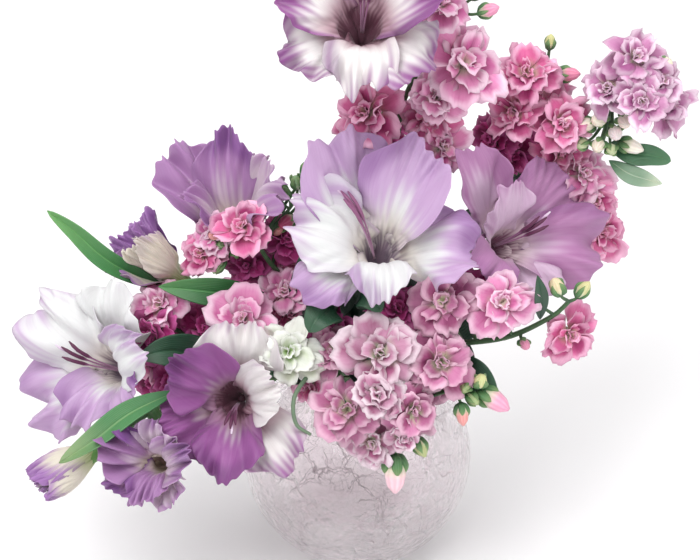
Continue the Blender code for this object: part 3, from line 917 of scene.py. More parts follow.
class StockTint(Enum):
    """The stock's colours: heart, body and margin of a petal, and the painted shade laid over its petals in
    patches.
    """

    ROSE = ("E4C6B4", "DC6A9E", "F8BEDA", "9C1E62")
    MAUVE = ("DADCB8", "C2769E", "E9BED2", "82285A")
    PINK = ("EADECC", "E48EBC", "FAD8EA", "B84A88")
    PALE = ("DDE6C4", "CF94B2", "F0DCE6", "9C3E70")
    # Deep magenta, dark right to the heart: partly the florets' own colour and partly painted shade for pink
    # florets deep in the bouquet.
    MAGENTA = ("A84C78", "A82A70", "CC5C9E", "5C0A3A")
    LILAC = ("E2D8C0", "C988B2", "F0D4E6", "9A4882")
    CREAM = ("B4D48A", "ECEEE4", "FAFAF6", "CBD8B0")

    @property
    def slot(self) -> str:
        """The record's material slot for it."""
        pale = self in (StockTint.PALE, StockTint.CREAM, StockTint.LILAC)
        return "stock_pale_petal" if pale else "stock_pink_petal"


@dataclass(frozen=True)
class Whorl:
    """One round of a floret's petals: the number of the first petal past it, the turn between
    petals, their length and breadth as shares, how they rise and arch, and how far out they stay
    pale."""

    until: int
    offset: float
    gap: float
    length: float
    breadth: float
    tilt: float
    arch: float
    pale: float


WHORLS = (
    Whorl(6, 0, 60, 1.0, 0.47, 6, 42, 0.06),
    Whorl(11, 30, 72, 0.82, 0.46, 26, 46, 0.12),
    Whorl(15, 50, 90, 0.60, 0.42, 46, 40, 0.25),
    Whorl(20, 12, 137.5, 0.42, 0.36, 68, 30, 0.45),
)


@dataclass(frozen=True)
class Floret:
    """A double stock flower: a rosette of crumpled petals, flat outside and upright within."""

    name: str
    face: Facing
    tint: StockTint
    seed: int
    crinkle: float
    closed: float = 0.0
    reach: float = 23.5
    wall: float = 0.3

    def _petal(self, sheet: Sheet, number: int, spin: float, openness: float, draw: np.random.Generator):
        """Shapes and paints one petal.

        Args:
            sheet: The flat grids.
            number: Its number, from the outside.
            spin: How far the rosette is turned.
            openness: How much steeper its petals stand.
            draw: The floret's own chances.

        Returns:
            Its points, in the flower's own axes, and their pigment.
        """
        u, v = sheet.u, sheet.v
        ring = next(r for r in WHORLS if number < r.until)
        inward = number / (sheet.count - 1)
        angle = math.radians(spin + ring.offset + ring.gap * number + draw.uniform(-18, 18))
        length = self.reach * self.face.size * ring.length * draw.uniform(0.80, 1.10)
        half = length * ring.breadth * draw.uniform(0.9, 1.12)
        tilt = math.radians(ring.tilt + openness + draw.uniform(-16, 16))
        arch = math.radians(ring.arch + draw.uniform(-28, 28))
        roll = math.radians(draw.uniform(-34, 34))
        waver = Waver(self.seed * 31 + number)
        notch = draw.uniform(0.0, 0.09) * self.crinkle
        phase = draw.uniform(0, math.tau)
        jag = 0.035 * self.crinkle * np.sin(11 * u + phase) * np.maximum(np.abs(u), v) ** 4
        along = v * (1 - 0.34 * np.abs(u) ** 2.4 - notch * np.exp(-((u / 0.2) ** 2)) + jag)
        across = u * half * (0.10 + 0.90 * smooth(0.0, 0.58, along))
        edge = 1 - (1 - np.abs(u) * smooth(0.1, 0.5, v)) * (1 - smooth(0.4, 1.0, v))
        steps = np.linspace(0, 1.1, 27)
        heading = tilt + arch * (0.55 - 1.2 * steps)
        line = (*walked(heading, length * (steps[1] - steps[0])), heading)
        r, z, a = (np.interp(along, steps, x) for x in line)
        cup = draw.uniform(-0.01, 0.05) + (0.05 if inward > 0.6 else 0.0)
        crumple = self.crinkle * length * (
            0.055 * edge**1.5 * np.sin(draw.uniform(4, 8) * u + phase)
            + 0.085 * edge * waver.at(u * 1.3, v * 2)
        )
        crease = -0.04 * length * np.exp(-((u / 0.15) ** 2)) * smooth(0.1, 0.4, along)
        front = across * across * cup * 0.5 + crumple + crease
        side = across * math.cos(roll) - front * math.sin(roll)
        front = across * math.sin(roll) * smooth(0.2, 0.8, along) + front
        outward = 2.2 * (1 - inward) + r - front * np.sin(a)
        points = about(angle, outward, side, -6.5 + 4.0 * inward + z + front * np.cos(a))
        heart, body, margin, deep = (tint(c) for c in self.tint.value)
        # The deep colour is painted shade, laid in waving patches over the petals and strongest on the outer
        # whorls.
        painted_shade = smooth(-0.15, 0.85, waver.at(u * 1.4, v * 1.6)) * 0.9 * (1 - ring.pale)
        light = smooth(0.74, 1.0, edge + 0.1 * waver.at(u * 2, v * 2)) * draw.uniform(0.5, 1.0)
        colour = layered(
            heart,
            (heart * 0.9, smooth(0.05, 0.2, along)),
            (body, smooth(ring.pale, ring.pale + 0.42, along + 0.08 * waver.at(u * 3, v))),
            (deep, painted_shade),
            (margin, light),
        )
        return points, np.clip(colour * draw.uniform(0.76, 1.10), 0, 1)

    def build(self, bench: Bench) -> Piece:
        """Builds the rosette, a grid to each petal.

        Args:
            bench: The patterns and the mouth.

        Returns:
            The piece.
        """
        sheet = bench.petals
        draw = np.random.default_rng(self.seed + 101)
        spin = draw.uniform(0, 360)
        openness = draw.uniform(-6, 12) + self.closed
        made = [self._petal(sheet, number, spin, openness, draw) for number in range(sheet.count)]
        points, pigment = (np.stack(part) for part in zip(*made))
        return sheet.shaped(self.name, self.face.moved(points, bench), pigment, self.wall)

    def neck(self, bench: Bench, stem: StemLine) -> list[Piece]:
        """Draws the floret's stalk and its green cup.

        Args:
            bench: The patterns and the mouth.
            stem: The stem that it grows on.

        Returns:
            The two pieces.
        """
        ahead = self.face.ahead
        middle = bench.at(self.face.place)
        start = middle - ahead * 17 * MM * self.face.size
        end = middle - ahead * 5 * MM
        stalk = bent_neck(stem.nearest(bench, start), start, ahead)
        cup = [start, start.lerp(end, 0.5), end]
        greens = [(0, "56743F"), (0.6, "6F8A52"), (1, "9A8C80")]
        return [
            bench.twig.drawn("stalk", stalk, [(0, 1.4), (0.2, 1.0), (1, 1.1)], [(0, "40603F"), (1, "5E7D4C")]),
            bench.twig.drawn("cup", cup, [(0, 1.0), (0.15, 2.3), (0.6, 2.9), (1, 3.4)], greens, 4, 0.12),
        ]


@dataclass(frozen=True)
class Bud:
    """A closed stock bud on its stalk: four downy green sepals round the rolled petals."""

    place: Triple
    size: float
    tip: str
    open: float = 0.45
    looks: Triple | None = None

    def build(self, bench: Bench, stem: StemLine) -> list[Piece]:
        """Builds the stalk, the rolled petals and the four sepals.

        Args:
            bench: The patterns and the mouth.
            stem: The stem that it grows on.

        Returns:
            The pieces.
        """
        middle = bench.at(self.place)
        start = stem.nearest(bench, middle)
        outward = middle - start
        if outward.length < 0.004:
            outward = UP * 0.004
        ahead = (outward.normalized() + Vector((0, -0.1, 0.5))).normalized()
        if self.looks:
            ahead = Vector(self.looks).normalized()
        length = 11 * MM * self.size
        foot, head = middle - ahead * length * 0.5, middle + ahead * length * 0.6
        width = 3.5 * self.size
        draw = bench.twig.drawn
        swell = [(0, 0.8), (0.2, 0.66 * width), (0.5, 0.96 * width), (0.8, 0.74 * width), (1, 0.15 * width)]
        rolled = [(0, "7E9A5C"), (0.3, "D3D6B4"), (0.6, self.tip), (1, self.tip)]
        stalk = bent_neck(start, foot, ahead)
        pieces = [
            draw("stalk", stalk, [(0, 1.2), (1, 0.9)], [(0, "35523A"), (1, "4C6E42")]),
            draw("petals", [foot, middle, head], swell, rolled, 5, 0.1),
        ]
        side = ahead.cross(Vector((0.2, 1, 0.1))).normalized()
        up = side.cross(ahead)
        reach = 1 - self.open
        blade = [(0, 0.7), (0.3, 0.42 * width), (0.7, 0.36 * width), (1, 0.06 * width)]
        greens = [(0, "33573A"), (0.6, "4E7B48"), (1, "7B9660")]
        for number in range(4):
            turn = math.tau * number / 4 + 0.4
            off = (side * math.cos(turn) + up * math.sin(turn)) * MM
            # How far up the bud each place is, and how far out.
            stops = [(0.30 * reach + 0.05, 0.62), (0.62 * reach + 0.1, 0.88)]
            stops.append((reach + 0.12, 0.5 + 0.5 * self.open))
            route = [foot + off * 0.3, *(foot.lerp(head, far) + off * out * width for far, out in stops)]
            pieces.append(draw("sepal", route, blade, greens, 2, 0.3))
        return pieces


@dataclass(frozen=True)
class StockSpray:
    """A spray of stock: its stem, its florets in the order of their letters, and its buds. A row
    gives a floret's place, where it looks, its size and tint and, where it is half closed, how
    far its petals rise. The first few stand for a node of their own, the rest for the stem's."""

    name: str
    stem: StemLine
    rows: tuple[tuple, ...]
    buds: tuple[Bud, ...]
    own_nodes: int
    crinkle: float = 1.25

    @property
    def node(self) -> str:
        """The frame's node for its stem."""
        return f"stock_stem_{self.name}"

    def florets(self) -> list[tuple[Floret, str]]:
        """Makes the florets, each with a seed from its spray and letter.

        Returns:
            Each floret, and the node that it stands for.
        """
        made = []
        for number, (place, looks, size, shade, *closed) in enumerate(self.rows):
            letter = chr(ord("a") + number)
            seed = sum(map(ord, self.name)) * 7 + ord(letter)
            name = f"stock_flower_{self.name}_{letter}"
            flower = Floret(name, Facing(place, looks, size), shade, seed, self.crinkle, *closed)
            own = number < self.own_nodes
            made.append((flower, f"stock_floret_{self.name}_{letter}" if own else self.node))
        return made


# ---------------------------------------------------------------- leaves

DARK = ("16382A", "1E4530", "2B5238")
# Near-black green for the blades in the gaps of the bouquet's depth: painted shade.
PAINTED_SHADE_GREEN = ("0F2A20", "143325", "1C4030")


@dataclass(frozen=True)
class Blade:
    """A leaf or a sheath: a thin blade along a route, folded a little along its midrib."""

    name: str
    route: tuple[Triple, ...]
    half_width: float
    slot: str = "leaf"
    facing: Triple = (0.0, -0.84, 0.54)
    fullness: float = 0.8
    fold: float = 0.25
    colours: tuple[str, str, str] = DARK
    wall: float = 0.7

    def build(self, bench: Bench, seed: int) -> Piece:
        """Builds the blade with its own thickness.

        Args:
            bench: The patterns and the mouth.
            seed: What its waver is drawn from.

        Returns:
            The piece.
        """
        u, v = bench.blade.u, bench.blade.v
        place, way = route_of([bench.at(spot) for spot in self.route], v[:, 0])
        side = np.cross(way, np.array(Vector(self.facing).normalized()))
        side /= np.linalg.norm(side, axis=1)[:, None]
        front = np.cross(side, way)
        outline = np.maximum(np.sin(math.pi * np.clip(v, 0.0, 1.0)) ** self.fullness, 0.02)
        waver = Waver(seed * 5 + 2)
        across = u * self.half_width * outline
        lift = np.abs(u) ** 1.3 * self.fold * self.half_width * outline
        lift = lift + 0.08 * self.half_width * outline * np.abs(u) * waver.at(u * 0.8, v * 7)
        lift = lift - 0.12 * self.half_width * np.exp(-((u / 0.1) ** 2)) * outline
        off = across[..., None] * side[:, None, :] + lift[..., None] * front[:, None, :]
        foot, middle, tip = (tint(c) for c in self.colours)
        shade = layered(
            foot,
            (middle, smooth(0.0, 0.45, v)),
            (tip, smooth(0.5, 1.0, v + 0.1 * waver.at(u, v * 3))),
            (np.clip(tip * 1.9, 0, 1), np.exp(-((u / 0.08) ** 2)) * 0.35),
        )
        return bench.blade.shaped(f"{self.name}_blade", place[:, None, :] + off * MM, shade, self.wall)


# ---------------------------------------------------------------- the vase


@dataclass
class GlobeVase:
    """A globe blown from clear pale pink glass: a flat ground foot, a wide belly, a short neck
    and a rounded lip. Its wall is thin and its base is thick."""

    wall: float = 3.0
    base: float = 9.0
    foot: float = 38.5
    neck: float = 30.5
    sides: int = 144

    def _outline(self) -> list[tuple[float, float]]:
        """Draws the turned outline, up the outside and down the inside.

        Returns:
            Radius and height of each station.
        """
        low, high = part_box("vase")
        belly = (high[0] - low[0]) / 2 / MM - 0.2
        top = high[2] / MM
        middle = math.sqrt(belly**2 - self.foot**2)
        collar = middle + math.sqrt(belly**2 - self.neck**2)
        inner = belly - self.wall

        def arc(radius: float, start: float, end: float) -> list[tuple[float, float]]:
            """Stations round the globe's middle, from one angle to another."""
            angles = np.linspace(start, end, 46)
            return [(radius * math.cos(a), middle + radius * math.sin(a)) for a in angles]

        outside = arc(belly, math.asin(-middle / belly) + 0.03, math.asin((collar - middle) / belly))
        flare = [(-0.3, collar + 2.5), (0.6, collar + 5.5), (2.6, top - 1.6)]
        turns = np.linspace(0.2, 2.8, 6)
        lip = [(2.9 + 1.5 * math.cos(a) - 1.5, top - 1.5 + 1.5 * math.sin(a)) for a in turns]
        throat = [(-2.4, collar + 5.0), (-3.1, collar + 2.0)]
        collared = [(self.neck + out, height) for out, height in (*flare, *lip, *throat)]
        start, end = (math.asin((level - middle) / inner) for level in (collar - 1.5, self.base))
        inside = arc(inner, start, end + 0.12)
        shares = (0.93, 0.8, 0.6, 0.35, 0.12)
        bottom = [(inside[-1][0] * share, self.base + 1.5 * share**4) for share in shares]
        return [(self.foot - 2.5, 0.0), (self.foot - 0.8, 0.5), *outside, *collared, *inside, *bottom]

    def build(self) -> Piece:
        """Builds the wall as one closed body: a circle drawn up and over, station by station."""
        outline = self._outline()
        radius, height = outline[0]
        deselect()
        bpy.ops.mesh.primitive_circle_add(
            vertices=self.sides, radius=radius * MM, fill_type="NGON", location=(0, 0, height * MM)
        )
        piece = bpy.context.active_object
        bpy.ops.object.transform_apply(location=True)
        bpy.ops.object.mode_set(mode="EDIT")
        bpy.ops.mesh.select_all(action="SELECT")
        bpy.ops.mesh.flip_normals()
        bpy.ops.mesh.select_mode(type="EDGE")
        bpy.ops.mesh.region_to_loop()
        for (before, low), (after, high) in zip(outline, outline[1:]):
            bpy.ops.mesh.extrude_region_move(TRANSFORM_OT_translate={"value": (0, 0, (high - low) * MM)})
            share = after / before
            bpy.ops.transform.resize(value=(share, share, 1), center_override=(0, 0, high * MM))
        bpy.ops.mesh.edge_face_add()
        bpy.ops.mesh.select_all(action="SELECT")
        bpy.ops.mesh.normals_make_consistent(inside=False)
        bpy.ops.object.mode_set(mode="OBJECT")
        bpy.ops.object.shade_smooth_by_angle(angle=math.radians(40))
        piece.name = piece.data.name = "crackled_globe_vase"
        return piece


# ---------------------------------------------------------------- the design


GLADIOLUS_STEMS = {
    "centre": StemLine(
        (1, 13),
        ((4, 14, 30), (4, 14, 68), (4, 27, 119), (3, 33, 180), (2, 35, 215), (4, 44, 250)),
        4.2,
    ),
    "right": StemLine((21, 6), ((30, 10, 16), (46, 22, 36), (58, 30, 54), (64, 34, 72)), 4.2),
    "upper_left": StemLine(
        (-11, 14),
        ((-20, 14, 14), (-40, 10, 30), (-66, 4, 45), (-97, -2, 54), (-125, -8, 60)),
        4.2,
    ),
    "left": StemLine((-19, 7), ((-34, 10, 12), (-66, 4, 4), (-112, -2, -8)), 4.2),
    "lower_left": StemLine(
        (-18, -5),
        ((-28, -6, 12), (-44, -18, 8), (-64, -34, 3), (-96, -56, 9), (-124, -76, 16), (-150, -98, 9)),
        4.2,
    ),
}

WHITE = TepalPaint("80707F", "DDD5CC", "E4E4E4", "C2A2C8", "7F4F8E", 0.34)
ORCHID = TepalPaint("744660", "D8C4C8", "CFB2CB", "AE7CA6", "73407A", 0.30)
DUSKY = TepalPaint("68404F", "BC9DA6", "E6E1E0", "915690", "592860", 0.42)
VIOLET = TepalPaint("8B7866", "DDD0BE", "D3C0CE", "A87EAC", "6E3E80", 0.36)
BUD_PAINT = TepalPaint("7F9A55", "C9CFA0", "DDD3C4", "A478B2", "5F2C72", 0.30)

BLOOMS = (
    Bloom(
        "centre", "centre", Facing((13, -56, 128), (0.04, -0.52, 0.85), 1), WHITE, 0, (
            Tepal(118, 65, 66, 26, 12, 0.012, 0.74, 1.2, 0.32, 4),
            Tepal(60, 61, 58, 24, 6, 0.016, 0.8, 1.1, 0.3),
            Tepal(-6, 62, 56, 5, 34, -0.002, 0.52, 1.4),
            Tepal(-92, 33, 42, 6, 80, -0.01, 0.26, 1.1, 0.54),
            Tepal(212, 63, 36, -2, 26, -0.004, 0.5, 1.3),
            Tepal(167, 53, 56, 12, 44, 0, 0.3, 1.4),
        ),
        stamens=(127, 36, 0.35),
        anther="8A5578",
        slot="gladiolus_white_petal",
    ),
    Bloom(
        "top", "centre", Facing((2, -30, 266), (0, -0.62, 0.78), 0.9), DUSKY, 10, (
            Tepal(90, 54, 56, 18, 20, 0.01, 0.6, 1),
            Tepal(30, 52, 52, 12, 20, 0.004, 0.6, 1.2),
            Tepal(-34, 54, 54, -6, 30, 0.004, 0.34, 1.4),
            Tepal(268, 44, 44, 2, 60, 0.004, 0.3, 1.5, 0.44),
            Tepal(208, 54, 52, 0, 36, 0.004, 0.3, 1.4),
            Tepal(152, 54, 52, 12, 20, 0.004, 0.5, 1.2),
        ),
        stamens=(80, 24, 1),
    ),
    Bloom(
        "right", "right", Facing((98, -24, 104), (0.45, -0.68, 0.58), 0.78), ORCHID, 20, (
            Tepal(103, 66, 38, 18, 12, 0.016, 0.62, 0.9, 0.26),
            Tepal(94, 36, 34, 20, 10, 0.012, 0.25, 1),
            Tepal(22, 64, 60, 4, 18, 0.004, 1, 1.3),
            Tepal(-20, 66, 52, -2, 22, 0.004, 0.9, 1.4),
            Tepal(-66, 46, 44, -2, 30, 0.004, 0.2, 1.3),
            Tepal(196, 36, 42, 12, 24, 0.012, 1, 1),
        ),
        stamens=(18, 24, 0.8),
    ),
    Bloom(
        "upper_left", "upper_left", Facing((-80, -6, 108), (-0.16, -0.26, 0.95), 0.7), VIOLET, 30, (
            Tepal(166, 40, 46, 46, 32, 0.012, 0.8, 1.7, 0.24),
            Tepal(112, 32, 46, 45, 24, 0.014, 0.7, 1.6, 0.28),
            Tepal(60, 28, 38, 42, 16, 0.014, 0.3, 1.3, 0.3),
            Tepal(8, 46, 42, 36, 20, 0.008, 0.34, 1.7, 0.22),
            Tepal(-56, 22, 32, 28, 26, 0.016, 0.15, 1.4),
            Tepal(226, 22, 36, 34, 20, 0.016, 0.6, 1.6, 0.38),
        ),
    ),
    Bloom(
        "half_open", "upper_left", Facing((-128, -16, 86), (-0.66, -0.2, 0.72), 0.4), BUD_PAINT, 40, (
            Tepal(158, 19, 30, 24, 34, 0.03, 1, 3, 0.55),
            Tepal(96, 14, 28, 27, 6, 0.05, 0.7, 2, 0.7),
            Tepal(36, 13, 28, 26, -10, 0.05, 0.12, 2, 0.8),
            Tepal(-24, 14, 28, 23, -6, 0.05, 0.08, 2, 0.8),
            Tepal(265, 16, 28, 22, 10, 0.05, 0.4, 2, 0.7),
            Tepal(208, 20, 30, 20, 28, 0.03, 1, 3, 0.55),
        ),
        tube_radius=2.6,
    ),
    Bloom(
        "left", "left", Facing((-163, -71, 40), (-0.5, -0.68, 0.53), 0.84), WHITE, 50, (
            Tepal(96, 55, 52, 6, 30, 0.004, 0.1, 1.5),
            Tepal(40, 38, 42, 12, 44, 0.01, 0.25, 1.8),
            Tepal(-20, 30, 38, 16, 30, 0.016, 1, 1.4),
            Tepal(-90, 36, 44, 6, 30, 0.004, 0.8, 1.4),
            Tepal(218, 66, 66, -4, 14, 0.004, 0.66, 1.8),
            Tepal(156, 56, 52, 4, 36, 0.004, 0.2, 1.5),
        ),
        stamens=(164, 25, 1),
        slot="gladiolus_white_petal",
    ),
    Bloom(
        "front_left", "lower_left", Facing((-76, -100, 36), (-0.06, -0.84, 0.54), 0.82), DUSKY, 60, (
            Tepal(86, 41, 56, 18, 60, 0.012, 0.16, 1.4, 0.66),
            Tepal(24, 25, 38, 12, 50, 0.004, 0.06, 1.6, 0.66),
            Tepal(-47, 54, 44, -2, 24, 0.004, 0.34, 1.4, 0.54),
            Tepal(-96, 46, 44, 4, 30, 0.004, 0.86, 1.1, 0.56),
            Tepal(206, 46, 52, 6, 34, 0.004, 1, 1.8, 0.56),
            Tepal(150, 40, 46, 14, 50, 0.004, 0.9, 1.9, 0.62),
        ),
        stamens=(265, 16, 1),
    ),
    Bloom(
        "crumpled", "lower_left", Facing((-128, -125, 4), (-0.3, -0.8, 0.52), 0.48), VIOLET, 70, (
            Tepal(96, 22, 30, 14, 60, 0.02, 0.2, 3.2, 0.6),
            Tepal(36, 24, 28, 10, 60, 0.01, 0.35, 3, 0.6),
            Tepal(-40, 26, 24, 0, 50, 0.004, 0.36, 2.4, 0.5, 6),
            Tepal(268, 16, 28, 8, 50, 0.004, 1, 3, 0.6),
            Tepal(212, 24, 32, 8, 30, 0.004, 1, 2.8, 0.6),
            Tepal(160, 32, 32, 10, 30, 0.004, 0.9, 2.8, 0.5),
        ),
        tube_radius=2.6,
    ),
)
TIP_BUD = Bloom(
    "tip_bud", "lower_left", Facing((-186, -111, -10), (-0.87, -0.3, -0.4), 0.42), BUD_PAINT, 80, (
        Tepal(80, 7, 30, 14, 0, 0.1, 0.6, 4, 1.9),
        Tepal(20, 6, 28, 16, 0, 0.1, 0.45, 4, 1.8),
        Tepal(-40, 7, 28, 13, 0, 0.1, 0.35, 4, 1.9),
        Tepal(260, 6, 28, 15, 0, 0.1, 0.4, 4, 1.8),
        Tepal(200, 7, 30, 16, 10, 0.1, 0.6, 4, 1.9),
        Tepal(140, 8, 28, 12, 10, 0.1, 0.6, 4, 1.8),
    ),
)

